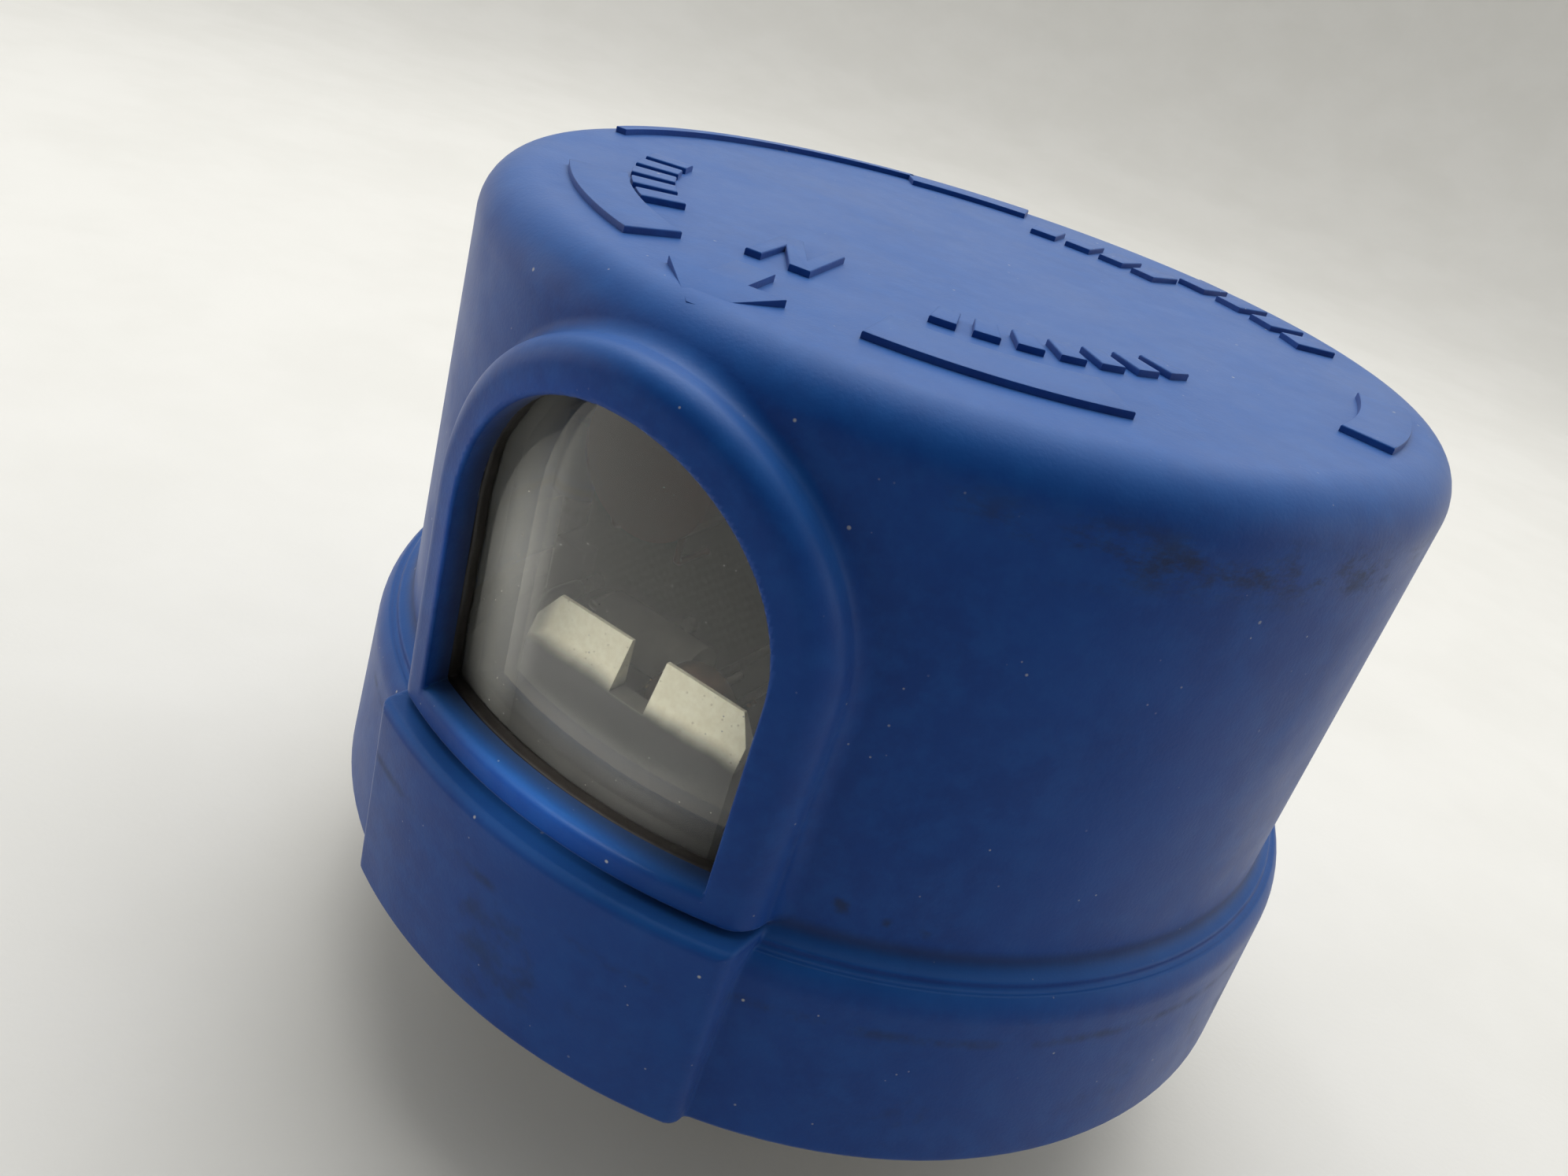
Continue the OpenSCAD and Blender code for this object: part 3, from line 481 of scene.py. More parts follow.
def cover_blue():
    """Blue polypropylene that has been outdoors: a painted lighter top face over a faint chalky bloom,
    painted shade in the corner over the ledge and inside the window frame, grime, scuffs and dust specks.
    """
    s = Surface("cover_blue", IOR=1.49, Specular_IOR_Level=0.16, Sheen_Weight=0.1, Sheen_Roughness=0.4)
    x, y, z = s.axes()
    r = s.math("SQRT", s.math("ADD", s.math("MULTIPLY", x, x), s.math("MULTIPLY", y, y)))
    cloud = s.noise(55, 4, 0.6)
    mottle = s.noise(420, 5, 0.65)
    grain = s.noise(3600, 2, 0.5)
    blue = s.mix(s.between(cloud, 0.3, 0.7), (0.0017, 0.035, 0.20), (0.0022, 0.046, 0.243))
    blue = s.mix(s.between(mottle, 0.35, 0.75), blue, (0.0035, 0.055, 0.26))

    # painted light: faces that point up are mixed towards a lighter blue, standing in for the overhead light
    # and sheen on the top face; a faint patchy chalky bloom lies over all of it
    normal = s.add("ShaderNodeNewGeometry").outputs["Normal"]
    up = s.add("ShaderNodeSeparateXYZ")
    s.feed(up.inputs[0], normal)
    facing_up = s.between(up.outputs[2], 0.2, 1.0)
    bloom_and_painted_top_light = s.math("MULTIPLY", s.between(s.noise(130, 6, 0.7), 0.35, 0.8), 0.015)
    bloom_and_painted_top_light = s.math("ADD", bloom_and_painted_top_light, s.math("MULTIPLY", facing_up, 0.31))
    blue = s.mix(bloom_and_painted_top_light, blue, (0.045, 0.21, 0.60))

    # grime and painted shade: painted shade in the corner over the ledge; grime along a line on the skirt and
    # on the edge of the top
    def height_band(centre, half):
        away = s.math("ABSOLUTE", s.math("SUBTRACT", z, centre * MM))
        return s.between(away, half * MM, 0.0)

    patchy = s.between(s.noise(160, 5, 0.7), 0.42, 0.66)
    # painted shade in the crease where the body meets the ledge
    corner = s.math("MULTIPLY", height_band(LEDGE_Z + 0.5, 1.0), s.between(r, 0.0402, 0.0393))
    ring = s.math("MULTIPLY", height_band(11.9, 0.7), patchy)
    streaks = s.between(s.noise(170, 7, 0.75, where=s.stretched(1, 1, 2.2)), 0.47, 0.68)
    right_side = s.math("MULTIPLY", s.between(x, 0.012, 0.026), s.between(y, 0.004, -0.012))
    scuff = s.math("MULTIPLY", s.math("MULTIPLY", height_band(47.5, 3.2), streaks), right_side)
    grime_and_painted_shade = s.math("ADD", s.math("MULTIPLY", corner, 0.4), s.math("MULTIPLY", ring, 0.45))
    grime_and_painted_shade = s.math("ADD", grime_and_painted_shade, s.math("MULTIPLY", scuff, 0.7))
    for angle, height, size in ((-60, 19.6, 1.3), (-55, 19.0, 0.8), (-51, 18.8, 1.0)):
        away = s.add("ShaderNodeVectorMath", operation="DISTANCE")
        s.feed(away.inputs[0], s.place)
        spot_x = BODY_R * math.cos(math.radians(angle))
        spot_y = BODY_R * math.sin(math.radians(angle))
        away.inputs[1].default_value = (spot_x * MM, spot_y * MM, height * MM)
        ragged = s.math("MULTIPLY", s.noise(900, 3), size * 1.6 * MM)
        spot = s.between(s.math("ADD", away.outputs["Value"], ragged), 1.5 * size * MM, 0.7 * size * MM)
        grime_and_painted_shade = s.math("ADD", grime_and_painted_shade, s.math("MULTIPLY", spot, 0.6))
    # painted shade inside the window frame: the walls next to the lens are darkened towards near black
    above = s.math("MAXIMUM", s.math("SUBTRACT", z, SPRING_Z * MM), 0.0)
    from_arch = s.math("SQRT", s.math("ADD", s.math("MULTIPLY", x, x), s.math("MULTIPLY", above, above)))
    in_arch = s.between(from_arch, (WINDOW_HALF + 0.8) * MM, (WINDOW_HALF + 0.2) * MM)
    deep = s.math("MULTIPLY", s.between(r, 0.0418, 0.0400), s.between(y, 0.0, -0.01))
    grime_and_painted_shade = s.math("ADD", grime_and_painted_shade, s.math("MULTIPLY", s.math("MULTIPLY", in_arch, deep), 0.7))
    smudge = s.between(s.noise(75, 5, 0.65), 0.6, 0.74)
    low_down = s.between(z, 0.021, 0.012)
    grime_and_painted_shade = s.math("ADD", grime_and_painted_shade, s.math("MULTIPLY", s.math("MULTIPLY", smudge, low_down), 0.4))
    blue = s.mix(s.math("MINIMUM", grime_and_painted_shade, 0.85), blue, (0.016, 0.020, 0.026))

    # loose specks of dust
    dust = s.math("MAXIMUM", s.specks(330, 0.055), s.math("MULTIPLY", s.specks(700, 0.07, 3.1), 0.6))
    few = s.between(s.noise(240, 2), 0.5, 0.6)
    blue = s.mix(s.math("MULTIPLY", s.math("MULTIPLY", dust, few), 0.7), blue, (0.55, 0.55, 0.5))

    s.set("Base Color", blue)
    rough = s.range(s.between(s.noise(90, 5, 0.65), 0.25, 0.8), 0.36, 0.52)
    s.set("Roughness", s.math("ADD", rough, s.math("MULTIPLY", grime_and_painted_shade, 0.2)))
    scratches = s.noise(700, 4, 0.7, where=s.stretched(1, 1, 0.08))
    fine = s.bump(grain, 0.000012)
    s.set("Normal", s.bump(scratches, 0.00001, 0.6, under=fine))
    return s.material


def lens_clear():
    """Clear polycarbonate with a thin film of dust and specks; the diffuse film is made thicker low down and
    to the left as a painted reflection haze.
    """
    s = Surface("lens_clear", IOR=1.5, Transmission_Weight=1.0)
    x, y, z = s.axes()
    s.set("Base Color", (0.90, 0.91, 0.89, 1))
    s.set("Roughness", s.range(s.between(s.noise(300, 4), 0.3, 0.8), 0.015, 0.06))
    cloud = s.range(s.between(s.noise(90, 5, 0.6), 0.3, 0.75), 0.75, 1.1)
    # painted reflection: the diffuse film is thicker low down and to the left, standing in for reflected haze
    # on the lens; the thin film everywhere and the specks are dust
    low_down = s.math("MULTIPLY", s.between(z, 0.0245, 0.0225), 0.055)
    left = s.math("MULTIPLY", s.between(x, -0.0045, -0.0105), 0.22)
    dust_and_painted_reflection = s.math("ADD", s.math("MAXIMUM", low_down, left), 0.006)
    dust_and_painted_reflection = s.math("MULTIPLY", dust_and_painted_reflection, cloud)
    specks = s.math("MAXIMUM", s.specks(1100, 0.08), s.specks(620, 0.05, 2.3))
    few = s.between(s.noise(260, 2), 0.46, 0.6)
    dust_and_painted_reflection = s.math("ADD", dust_and_painted_reflection, s.math("MULTIPLY", s.math("MULTIPLY", specks, few), 0.5))
    # one diffuse layer carries both the dust and the painted reflection
    dust = s.add("ShaderNodeBsdfDiffuse")
    dust.inputs["Color"].default_value = (0.72, 0.72, 0.68, 1)
    both = s.add("ShaderNodeMixShader")
    s.feed(both.inputs[0], s.math("MINIMUM", dust_and_painted_reflection, 0.8))
    s.tree.links.new(s.shader.outputs[0], both.inputs[1])
    s.tree.links.new(dust.outputs[0], both.inputs[2])
    s.tree.links.new(both.outputs[0], s.tree.nodes["Material Output"].inputs["Surface"])
    return s.material


def baffle_cream():
    """Cream card, speckled, with painted shadow below the strip that the light reaches and at its left end.
    """
    s = Surface("baffle_cream", Roughness=0.75)
    x, y, z = s.axes()
    fibres = s.noise(1500, 4, 0.7)
    cream = s.mix(s.between(fibres, 0.3, 0.7), (0.84, 0.78, 0.60), (0.93, 0.89, 0.72))
    cream = s.mix(s.math("MULTIPLY", s.specks(1500, 0.16), 0.5), cream, (0.34, 0.27, 0.16))
    # painted shadow: below the lit strip, and more faintly at the left end, the cream is mixed to near black
    edge = s.math("ADD", z, s.math("MULTIPLY", s.noise(160, 3), 0.0012))
    shade = s.between(edge, 0.0256, 0.0240)
    end = s.between(x, -0.0078, -0.0092)
    shade = s.math("MAXIMUM", shade, s.math("MULTIPLY", end, 0.6))
    s.set("Base Color", s.mix(shade, cream, (0.045, 0.045, 0.05)))
    s.set("Normal", s.bump(fibres, 0.00001))
    return s.material


def gasket_foam():
    s = Surface("gasket_foam", Roughness=0.9)
    pores = s.specks(1500, 0.42)
    cloud = s.noise(220, 4)
    shade = s.mix(s.between(cloud, 0.3, 0.7), (0.018, 0.018, 0.02), (0.034, 0.034, 0.036))
    # painted shade: the pores that the bump sinks are also darkened to near black
    s.set("Base Color", s.mix(s.math("MULTIPLY", pores, 0.6), shade, (0.006, 0.006, 0.006)))
    s.set("Normal", s.bump(s.math("SUBTRACT", 1.0, pores), 0.00012))
    return s.material


def board_green():
    """Brown-green laminate with its weave just showing, and dusty."""
    s = Surface("board_green", Coat_Weight=0.3, Coat_Roughness=0.25)
    x, y, z = s.axes()
    weave = s.math("MULTIPLY", s.math("SINE", s.math("MULTIPLY", x, 5200)),
                   s.math("SINE", s.math("MULTIPLY", z, 5200)))
    cloud = s.noise(140, 4)
    green = s.mix(s.between(cloud, 0.3, 0.7), (0.016, 0.022, 0.014), (0.024, 0.030, 0.018))
    s.set("Base Color", s.mix(s.between(weave, 0.2, 1.0), green, (0.030, 0.038, 0.024)))
    s.set("Roughness", s.range(s.between(cloud, 0.2, 0.8), 0.38, 0.55))
    s.set("Normal", s.bump(weave, 0.00001))
    return s.material


def coil_copper():
    """Enamelled copper wire, a little darker from turn to turn."""
    s = Surface("coil_copper", Metallic=0.85, Coat_Weight=0.6, Coat_Roughness=0.15)
    turns = s.noise(500, 2, where=s.stretched(0.2, 0.2, 3))
    cloud = s.noise(300, 4)
    shade = s.mix(s.between(turns, 0.3, 0.7), (0.34, 0.11, 0.035), (0.56, 0.22, 0.08))
    s.set("Base Color", s.mix(s.math("MULTIPLY", s.between(cloud, 0.5, 0.8), 0.4), shade, (0.12, 0.05, 0.02)))
    s.set("Roughness", s.range(cloud, 0.24, 0.42))
    s.set("Normal", s.bump(turns, 0.00002))
    return s.material


def film_brown():
    return moulded("film_brown", (0.055, 0.03, 0.018), 0.32, 0.00003, 600, Coat_Weight=0.4)


MATERIALS = {
    "cover_blue": cover_blue(),
    "lens_clear": lens_clear(),
    "sealant_dark": moulded("sealant_dark", (0.011, 0.008, 0.006), 0.45, 0.00005, 900),
    "base_black": moulded("base_black", (0.016, 0.016, 0.018), 0.48, 0.00003, 1600),
    "gasket_foam": gasket_foam(),
    "screw_zinc": metal("screw_zinc", (0.62, 0.61, 0.57), 0.34, (0.30, 0.27, 0.2), 0.4),
    "blade_brass": metal("blade_brass", (0.78, 0.55, 0.24), 0.26, (0.34, 0.22, 0.10), 0.45),
    "rivet_brass": metal("rivet_brass", (0.74, 0.56, 0.30), 0.30, (0.3, 0.2, 0.1), 0.35),
    "baffle_cream": baffle_cream(),
    "cell_ceramic": moulded("cell_ceramic", (0.16, 0.085, 0.05), 0.35, 0.00002, 1200, 0.05, Coat_Weight=0.5),
    "lead_tinned": metal("lead_tinned", (0.66, 0.65, 0.62), 0.33, (0.35, 0.33, 0.3), 0.3),
    "board_green": board_green(),
    "arrester_red": moulded("arrester_red", (0.12, 0.03, 0.02), 0.34, 0.00004, 500, 0.08, Coat_Weight=0.4),
    "film_brown": film_brown(),
    "filter_sleeve": moulded("filter_sleeve", (0.02, 0.024, 0.035), 0.3, 0.00001, 700, 0.1, Coat_Weight=0.3),
    "resistor_ceramic": moulded("resistor_ceramic", (0.62, 0.59, 0.5), 0.6, 0.00004, 900, 0.1),
    "resistor_tan": moulded("resistor_tan", (0.52, 0.36, 0.2), 0.35, 0.00002, 800, 0.06, Coat_Weight=0.4),
    "diode_black": moulded("diode_black", (0.014, 0.014, 0.015), 0.36, 0.00002, 1200, 0.06),
    "relay_black": moulded("relay_black", (0.02, 0.02, 0.022), 0.44, 0.00003, 1500, 0.12),
    "relay_steel": metal("relay_steel", (0.56, 0.55, 0.52), 0.30, (0.26, 0.22, 0.17), 0.35),
    "bobbin_natural": moulded("bobbin_natural", (0.70, 0.66, 0.54), 0.42, 0.00002, 1300, 0.08,
                              Subsurface_Weight=0.15, Subsurface_Scale=0.001),
    "coil_copper": coil_copper(),
    "leaf_bronze": metal("leaf_bronze", (0.72, 0.46, 0.22), 0.28, (0.3, 0.18, 0.08), 0.3),
    "contact_silver": metal("contact_silver", (0.86, 0.85, 0.82), 0.24, (0.3, 0.28, 0.25), 0.3),
    "spring_steel": metal("spring_steel", (0.50, 0.50, 0.49), 0.28, (0.2, 0.18, 0.15), 0.3),
    "wire_black": moulded("wire_black", (0.018, 0.018, 0.018), 0.38, 0.00002, 900, 0.12),
    "wire_red": moulded("wire_red", (0.38, 0.028, 0.018), 0.38, 0.00002, 900, 0.08),
    "wire_white": moulded("wire_white", (0.66, 0.65, 0.6), 0.38, 0.00002, 900, 0.12),
    "lead_enamel": metal("lead_enamel", (0.46, 0.18, 0.07), 0.34, (0.2, 0.08, 0.03), 0.3),
}


# ---- cover, lens and seal ----

FRONT = -90.0
FINE = 27.0


def lathe(profile, steps):
    """A closed solid of revolution from (radius, height) points, in millimetres."""
    part = bmesh.new()
    rings = []
    for radius, height in profile:
        if radius < 1e-6:
            rings.append([part.verts.new((0, 0, height * MM))])
            continue
        ring = []
        for i in range(steps):
            turn = 2 * math.pi * i / steps
            place = (radius * math.cos(turn) * MM, radius * math.sin(turn) * MM, height * MM)
            ring.append(part.verts.new(place))
        rings.append(ring)
    for a, b in zip(rings, rings[1:]):
        for i in range(steps):
            j = (i + 1) % steps
            corners = [a[i % len(a)], a[j % len(a)], b[j % len(b)], b[i % len(b)]]
            kept = list(dict.fromkeys(corners))
            if len(kept) > 2:
                part.faces.new(kept)
    bmesh.ops.recalc_face_normals(part, faces=part.faces)
    return part


def make_cover():
    turns = spans(FRONT - 180, (FRONT - FINE, 2.5), (FRONT + FINE, 0.4), (FRONT + 180, 2.5))[:-1]
    radii = spans(2.0, (30, 4), (36, 0.75), (44.2, 0.3))
    heights = spans(-0.3, (1.2, 0.3), (12.6, 1.2), (20.4, 0.22), (SPRING_Z, 0.6), (53.0, 0.33))
    cover = field_mesh("cover_shell", cover_field, turns, radii, heights, whole_turn=True)
    close_middle(cover)
    return finish_piece(cover, "housing", "cover_blue", "cover")


def make_screw_posts():
    """The three posts inside the cover that take its screws."""
    circle_r, post_r, hole_r = 35.0, 3.0, 1.55
    foot_z, hole_top_z, top_z = BASE_HIGH[2] + 0.1, 20.0, 25.0
    profile = [(0, top_z), (post_r - 0.4, top_z), (post_r, top_z - 0.4), (post_r, foot_z),
               (hole_r, foot_z), (hole_r, hole_top_z), (0, hole_top_z)]
    parts = []
    for turn in (60, 180, 300):
        part = lathe(profile, 40)
        at = Matrix.Rotation(math.radians(turn), 4, "Z") @ Matrix.Translation((circle_r * MM, 0, 0))
        bmesh.ops.transform(part, matrix=at, verts=part.verts)
        parts.append(part)
    posts = join_meshes("screw_posts", parts)
    smooth_by_angle(posts, 35)
    return finish_piece(posts, "housing", "cover_blue", "cover")


def close_middle(piece):
    """Fills the two small holes that the grid leaves round its axis."""
    shape = bmesh.new()
    shape.from_mesh(piece.data)
    edges = [e for e in shape.edges if e.is_boundary]
    bmesh.ops.holes_fill(shape, edges=edges, sides=0)
    shape.to_mesh(piece.data)
    shape.free()


def make_lens():
    turns = spans(FRONT - 25, (FRONT + 25, 0.7))
    radii = spans(LENS_IN_R - 0.6, (LENS_R + 0.6, 0.2))
    heights = spans(LENS_FOOT_Z - 0.6, (LENS_HIGH[2] + 0.6, 0.55))
    lens = field_mesh("clear_lens", lens_field, turns, radii, heights)
    return finish_piece(lens, "housing", "lens_clear", "window_lens")


def make_seal():
    turns = spans(FRONT - 25, (FRONT + 25, 0.4))
    radii = spans(LENS_R - 0.4, (POCKET_R + 0.4, 0.2))
    heights = spans(LENS_FOOT_Z - 0.5, (LENS_HIGH[2] + 0.5, 0.33))
    seal = field_mesh("sealant_bead", seal_field, turns, radii, heights)
    return finish_piece(seal, "housing", "sealant_dark", "window_seal")


# ---- raised marks on the top face ----

def raised(outline, heights=None, bevel=0.12):
    """A low pad with softened upper edges, from an outline in millimetres.

    heights gives how far each corner stands above the top face."""
    part = bmesh.new()
    tall = heights or [MARK_H] * len(outline)
    low = [part.verts.new((x * MM, y * MM, (TOP_Z - 0.9) * MM)) for x, y in outline]
    top = [part.verts.new((x * MM, y * MM, (TOP_Z + h) * MM)) for (x, y), h in zip(outline, tall)]
    count = len(outline)
    part.faces.new(top)
    part.faces.new(low[::-1])
    for i in range(count):
        j = (i + 1) % count
        part.faces.new((low[i], low[j], top[j], top[i]))
    bmesh.ops.recalc_face_normals(part, faces=part.faces)
    edges = [e for e in part.edges if e.verts[0] in top and e.verts[1] in top]
    bmesh.ops.bevel(part, geom=edges, offset=bevel * MM, segments=2, affect="EDGES", profile=0.5)
    return part


def arc_band(r_in, r_out, start, stop, step=1.5):
    """Outline of a curved band between two radii and two angles in degrees."""
    count = max(2, math.ceil(abs(stop - start) / step))
    turns = [math.radians(start + (stop - start) * i / count) for i in range(count + 1)]
    outer = [(r_out * math.cos(t), r_out * math.sin(t)) for t in turns]
    inner = [(r_in * math.cos(t), r_in * math.sin(t)) for t in reversed(turns)]
    return outer + inner


def north_frame(points):
    """Points measured from the tip of the north arrow, placed on the top face."""
    tip = (-0.7, -36.8)
    lean = math.radians(13.5)
    c, s = math.cos(lean), math.sin(lean)
    return [(tip[0] + x * c - y * s, tip[1] + x * s + y * c) for x, y in points]


def arrow_outline():
    """A short stemmed arrow with its tip at the origin."""
    head_half, head_len, stem_half, stem_end = 4.0, 5.3, 1.4, 9.9
    right = [(0.3, 0.5), (head_half, head_len), (stem_half, head_len), (stem_half, stem_end)]
    return right + [(-x, y) for x, y in reversed(right)]


def letter_n_outline():
    """The letter N, for north."""
    half, start, end, stroke = 2.4, 13.8, 21.1, 1.2
    slant = 1.3 * stroke
    drop = stroke * (end - start) / (2 * half - slant)
    return [
        (-half, start), (stroke - half, start), (stroke - half, end - drop),
        (half - slant, start), (half, start), (half, end),
        (half - stroke, end), (half - stroke, start + drop),
        (slant - half, end), (-half, end),
    ]


def make_marks():
    """North mark, bands along the rim, and rows of plain bars."""
    bands = [(25, 30.6, -61, 32), (28.4, 32.8, -124, 29), (30.4, 34.2, 6, 24), (31, 34.2, 119, 22)]
    front_row = (18.4, 21.6, -70, 8, 5, 7)
    left_row = (24.8, 28.2, -158, 7.4, 4.6, 5)
    back_row = (24, 28, 76, 8.5, 6, 4)
    rim_row = (29, 32.6, 44, 9, 6, 4)
    tip_sinks = [-0.3] + [MARK_H] * 6 + [-0.3]
    parts = [
        raised(north_frame(arrow_outline()), tip_sinks, 0.04),
        raised(north_frame(letter_n_outline())),
        raised(arc_band(33.5, 34.5, 129, 190), None, 0.06),
    ]
    for r_in, r_out, middle, span in bands:
        parts.append(raised(arc_band(r_in, r_out, middle - span / 2, middle + span / 2)))
    for r_in, r_out, first, step, span, count in (front_row, left_row, back_row, rim_row):
        for i in range(count):
            middle = first + step * i
            parts.append(raised(arc_band(r_in, r_out, middle - span / 2, middle + span / 2)))
    marks = join_meshes("top_marks", parts)
    smooth_by_angle(marks, 35)
    return finish_piece(marks, "housing", "cover_blue")


def smooth_by_angle(piece, degrees):
    """Smooth shading that keeps edges sharper than an angle."""
    shape = bmesh.new()
    shape.from_mesh(piece.data)
    limit = math.radians(degrees)
    for edge in shape.edges:
        edge.smooth = len(edge.link_faces) == 2 and edge.calc_face_angle(0) < limit
    shape.to_mesh(piece.data)
    shape.free()


# ---- CAD nodes that keep their shape ----

def dress_cad_nodes():
    """Gives each CAD node the material of its slot, and rounds the sharp edges of all but the circuit board
    slightly.
    """
    for part in frame["record"]["subparts"]:
        node = NODES[part["node"]]
        node.data.materials.clear()
        node.data.materials.append(MATERIALS[part["material_slot"]])
        if part["node"] == "circuit_board":
            continue
        weld = node.modifiers.new("weld", "WELD")
        weld.merge_threshold = 1e-6
        low, high = box_mm(part["node"])
        bevel = node.modifiers.new("soft_edges", "BEVEL")
        bevel.limit_method = "ANGLE"
        bevel.angle_limit = math.radians(40)
        bevel.width = min(0.2, 0.08 * min(high - low)) * MM
        bevel.segments = 2
        bevel.harden_normals = True


def tube(name, points, radius, sides=10):
    """A round wire along a line of points, in millimetres."""
    points = np.array(points, float)
    ahead = np.gradient(points, axis=0)
    ahead /= np.linalg.norm(ahead, axis=1, keepdims=True)
    side = np.cross(ahead[0], (0.3, 0.9, 0.2))
    rings = []
    for here, forward in zip(points, ahead):
        side = side - forward * side.dot(forward)
        side /= np.linalg.norm(side)
        other = np.cross(forward, side)
        turns = np.arange(sides) * 2 * math.pi / sides
        rings.append(here + radius * (np.outer(np.cos(turns), side) + np.outer(np.sin(turns), other)))
    count = len(points)
    faces = [
        (i * sides + j, i * sides + (j + 1) % sides, (i + 1) * sides + (j + 1) % sides, (i + 1) * sides + j)
        for i in range(count - 1)
        for j in range(sides)
    ]
    faces.append(tuple(range(sides))[::-1])
    faces.append(tuple((count - 1) * sides + j for j in range(sides)))
    return new_piece(name, np.concatenate(rings), faces)


def make_spring():
    """The relay's return spring as a wound wire with straight ends."""
    low, high = box_mm("return_spring")
    wire_r, turns = 0.2, 15
    middle = (low + high) / 2
    coil_r = (high[0] - low[0]) / 2 - wire_r
    leg = 2.7
    points = [(middle[0], middle[1], low[2] + wire_r)]
    steps = turns * 20
    for i in range(steps + 1):
        share = i / steps
        reach = coil_r * min(1, 12 * share, 12 * (1 - share))
        turn = 2 * math.pi * turns * share
        height = low[2] + leg + (high[2] - low[2] - 2 * leg) * share
        points.append((middle[0] + reach * math.cos(turn), middle[1] + reach * math.sin(turn), height))
    points.append((middle[0], middle[1], high[2] - wire_r))
    spring = tube("wound_spring", points, wire_r)
    return finish_piece(spring, "housing", "spring_steel", "return_spring")


def make_coil():
    """The relay's winding: rows of turns that can be counted."""
    low, high = box_mm("relay_coil")
    middle = (low + high) / 2
    outer = (high[0] - low[0]) / 2
    inner = 4.1
    pitch = 0.42
    rows = int((high[2] - low[2]) / pitch)
    profile = [(inner, low[2])]
    for i in range(rows):
        base = low[2] + pitch * i
        for share in (0.0, 0.25, 0.5, 0.75):
            profile.append((outer - 0.12 * (1 - math.sin(math.pi * share)), base + pitch * share))
    profile += [(outer - 0.12, high[2]), (inner, high[2]), (inner, low[2])]
    part = lathe(profile, 64)
    bmesh.ops.translate(part, vec=(middle[0] * MM, middle[1] * MM, 0), verts=part.verts)
    coil = join_meshes("wound_coil", [part])
    smooth_by_angle(coil, 70)
    return finish_piece(coil, "housing", "coil_copper", "relay_coil")


def make_blades():
    """The three brass blades."""
    blades = (("line_blade", 210, 8.7), ("load_blade", 330, 8.7), ("neutral_blade", 90, 12.2))
    for node, at, width in blades:
        turns = spans(at - 24, (at + 36, 1.0))
        radii = spans(8.6, (17.8, 0.23))
        heights = spans(BLADE_LOW[2] - 0.4, (BLADE_HIGH[2] + 0.4, 0.3))
        blade = field_mesh(node.replace("_", "_brass_"), blade_field(at, width), turns, radii, heights)
        for vert in blade.data.vertices:
            vert.co.z = max(vert.co.z, BLADE_LOW[2] * MM)
        finish_piece(blade, "housing", "blade_brass", node)


def make_card():
    """The cream card behind the window, with its upper edge shaved back."""
    low, high = box_mm("light_baffle")
    shaved_z = high[2] - 3.8
    shape = bmesh.new()
    shape.from_mesh(NODES["light_baffle"].data)
    bmesh.ops.remove_doubles(shape, verts=shape.verts, dist=1e-6)
    everything = shape.verts[:] + shape.edges[:] + shape.faces[:]
    bmesh.ops.bisect_plane(shape, geom=everything, plane_co=(0, 0, shaved_z * MM), plane_no=(0, 0, 1))
    middle_y = (low[1] + high[1]) / 2
    for vert in shape.verts:
        share = (vert.co.z / MM - shaved_z) / (high[2] - shaved_z)
        if share > 0 and vert.co.y / MM < middle_y:
            vert.co.y += share * 1.3 * MM
    card = join_meshes("light_card", [shape])
    smooth_by_angle(card, 30)
    return finish_piece(card, "housing", "baffle_cream", "light_baffle")


# ---- stage ----

def make_floor():
    """A pale sheet that curves up into a low wall all round, with painted shade towards the front."""
    floor_z = CAD_BOX[0].z / MM
    profile = [(0, 0), (60, 0), (160, 0), (320, 0), (480, 0), (560, 6), (630, 26), (690, 64), (740, 120),
               (770, 190), (790, 270)]
    part = bmesh.new()
    steps = 96
    rings = []
    for radius, rise in profile:
        if radius == 0:
            rings.append([part.verts.new((0, 0, floor_z * MM))])
            continue
        rings.append([
            part.verts.new((
                radius * math.cos(2 * math.pi * i / steps) * MM,
                radius * math.sin(2 * math.pi * i / steps) * MM,
                (floor_z + rise) * MM))
            for i in range(steps)
        ])
    for a, b in zip(rings, rings[1:]):
        for i in range(steps):
            j = (i + 1) % steps
            kept = list(dict.fromkeys([a[i % len(a)], b[i % len(b)], b[j % len(b)], a[j % len(a)]]))
            part.faces.new(kept)
    floor = join_meshes("floor", [part])
    s = Surface("floor_paper", Roughness=0.8)
    x, y, z = s.axes()
    paper = s.mix(s.between(s.noise(30, 4), 0.3, 0.7), (0.745, 0.74, 0.712), (0.775, 0.77, 0.745))
    # painted shade: the paper turns darker towards the front, on the camera's side
    towards_room = s.math("SUBTRACT", s.math("MULTIPLY", x, 0.38), s.math("MULTIPLY", y, 0.92))
    s.set("Base Color", s.mix(s.between(towards_room, 0.06, 0.2), paper, (0.5, 0.5, 0.485)))
    s.set("Normal", s.bump(s.noise(1500, 3), 0.00002))
    floor.data.materials.append(s.material)
    return floor


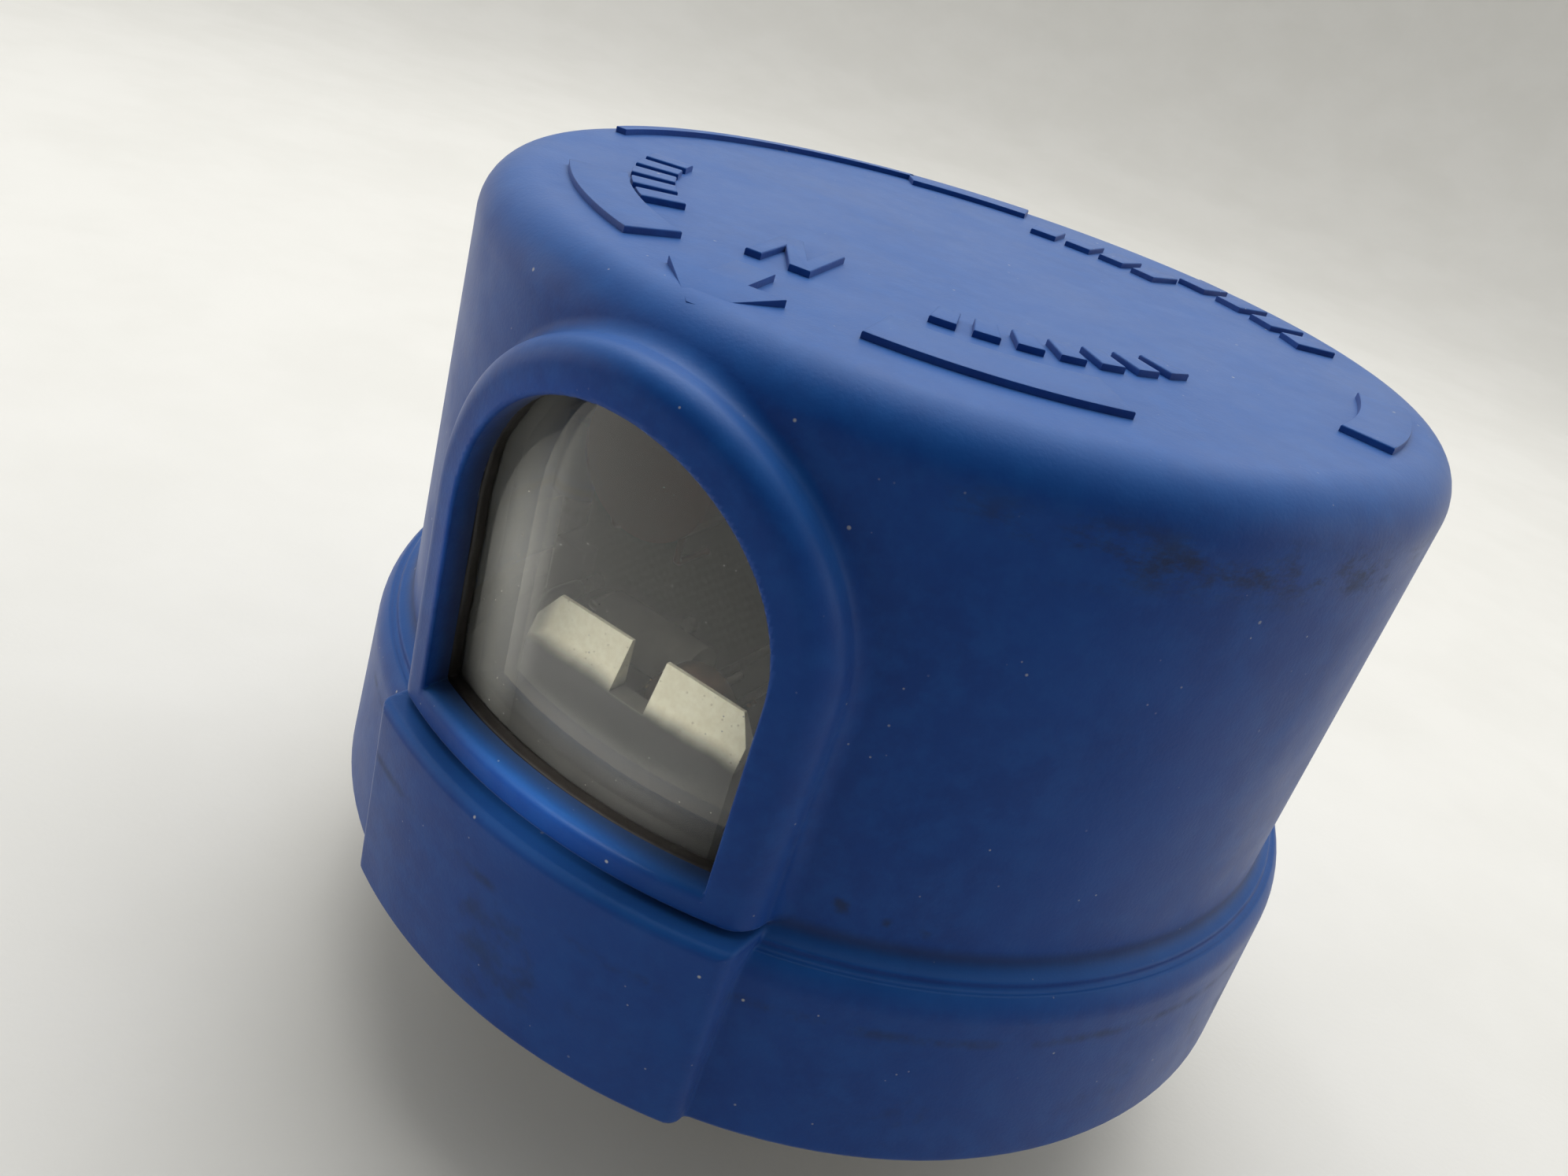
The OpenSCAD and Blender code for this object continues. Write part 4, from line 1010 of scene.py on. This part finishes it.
def make_camera():
    """The camera, level-turned and then rolled, looking down at the object's left front."""
    azimuth, elevation, roll = map(math.radians, (27.0, 27.3, 17.19))
    place = Vector((39.77, -94.16, 72.67)) * MM
    back = Vector((
        math.sin(azimuth) * math.cos(elevation),
        -math.cos(azimuth) * math.cos(elevation),
        math.sin(elevation)))
    right = (-back).cross(Vector((0, 0, 1))).normalized()
    up = right.cross(-back)
    turned_right = right * math.cos(roll) + up * math.sin(roll)
    turned_up = up * math.cos(roll) - right * math.sin(roll)
    data = bpy.data.cameras.new("camera")
    data.sensor_width = 36
    data.lens = 28.75
    data.clip_start = 0.005
    camera = bpy.data.objects.new("camera", data)
    camera.matrix_world = Matrix((turned_right, turned_up, back)).transposed().to_4x4()
    camera.location = place
    bpy.context.scene.collection.objects.link(camera)
    bpy.context.scene.camera = camera


def area_light(name, place, target, size, power, colour):
    data = bpy.data.lights.new(name, "AREA")
    data.shape = "DISK"
    data.size = size
    data.energy = power
    data.color = colour
    lamp = bpy.data.objects.new(name, data)
    lamp.location = place
    lamp.rotation_euler = (Vector(target) - Vector(place)).to_track_quat("-Z", "Y").to_euler()
    bpy.context.scene.collection.objects.link(lamp)


def light_patch(card):
    """A small patch of light that falls through the window on the upper edge of the card."""
    low, high = box_mm(card.name)
    target = Vector((0, low[1], high[2] - 2.2)) * MM
    data = bpy.data.lights.new("window_patch", "SPOT")
    data.energy = 6.0
    data.spot_size = math.radians(4.4)
    data.spot_blend = 0.4
    data.shadow_soft_size = 0.004
    data.color = (1.0, 0.98, 0.93)
    lamp = bpy.data.objects.new("window_patch", data)
    lamp.location = target + Vector((-0.15, -0.80, 0.58)) * 0.3
    lamp.rotation_euler = (target - lamp.location).to_track_quat("-Z", "Y").to_euler()
    bpy.context.scene.collection.objects.link(lamp)


def make_light():
    """Soft light from above and behind, and a dim side where the photographer would stand."""
    middle = (0, 0, 0.02)
    area_light("overhead", (-0.10, 0.20, 0.60), middle, 0.7, 2.7, (1.0, 0.985, 0.95))
    area_light("left_panel", (-0.50, -0.26, 0.13), middle, 0.5, 0.8, (1.0, 1.0, 0.98))
    area_light("right_panel", (0.50, 0.24, 0.13), middle, 0.4, 0.4, (1.0, 1.0, 0.98))
    light_patch(NODES["light_baffle"])
    world = bpy.data.worlds.new("room")
    bpy.context.scene.world = world
    world.use_nodes = True
    tree = world.node_tree
    direction = tree.nodes.new("ShaderNodeTexCoord")
    across = tree.nodes.new("ShaderNodeVectorMath")
    across.operation = "DOT_PRODUCT"
    across.inputs[1].default_value = (0.37, -0.89, 0.25)
    level = tree.nodes.new("ShaderNodeMapRange")
    level.inputs["From Min"].default_value = -1
    ramp = tree.nodes.new("ShaderNodeValToRGB")
    ramp.color_ramp.interpolation = "EASE"
    stops = ((0.1, 1.15), (0.42, 0.9), (0.62, 0.42), (0.82, 0.03))
    while len(ramp.color_ramp.elements) < len(stops):
        ramp.color_ramp.elements.new(0.5)
    for element, (position, bright) in zip(ramp.color_ramp.elements, stops):
        element.position = position
        element.color = (bright, bright * 0.995, bright * 0.97, 1)
    split = tree.nodes.new("ShaderNodeSeparateXYZ")
    lift = tree.nodes.new("ShaderNodeMapRange")
    lift.inputs["From Max"].default_value = 0.6
    lift.inputs["To Min"].default_value = 0.4
    lift.inputs["To Max"].default_value = 1.3
    tree.links.new(direction.outputs["Generated"], split.inputs[0])
    tree.links.new(split.outputs[2], lift.inputs["Value"])
    tree.links.new(lift.outputs[0], tree.nodes["Background"].inputs["Strength"])
    tree.links.new(direction.outputs["Generated"], across.inputs[0])
    tree.links.new(across.outputs["Value"], level.inputs["Value"])
    tree.links.new(level.outputs[0], ramp.inputs[0])
    tree.links.new(ramp.outputs[0], tree.nodes["Background"].inputs["Color"])
    bpy.context.scene.view_settings.view_transform = "Standard"


dress_cad_nodes()
make_cover()
make_marks()
make_screw_posts()
make_lens()
make_seal()
make_spring()
make_coil()
make_card()
make_blades()
make_floor()
make_camera()
make_light()
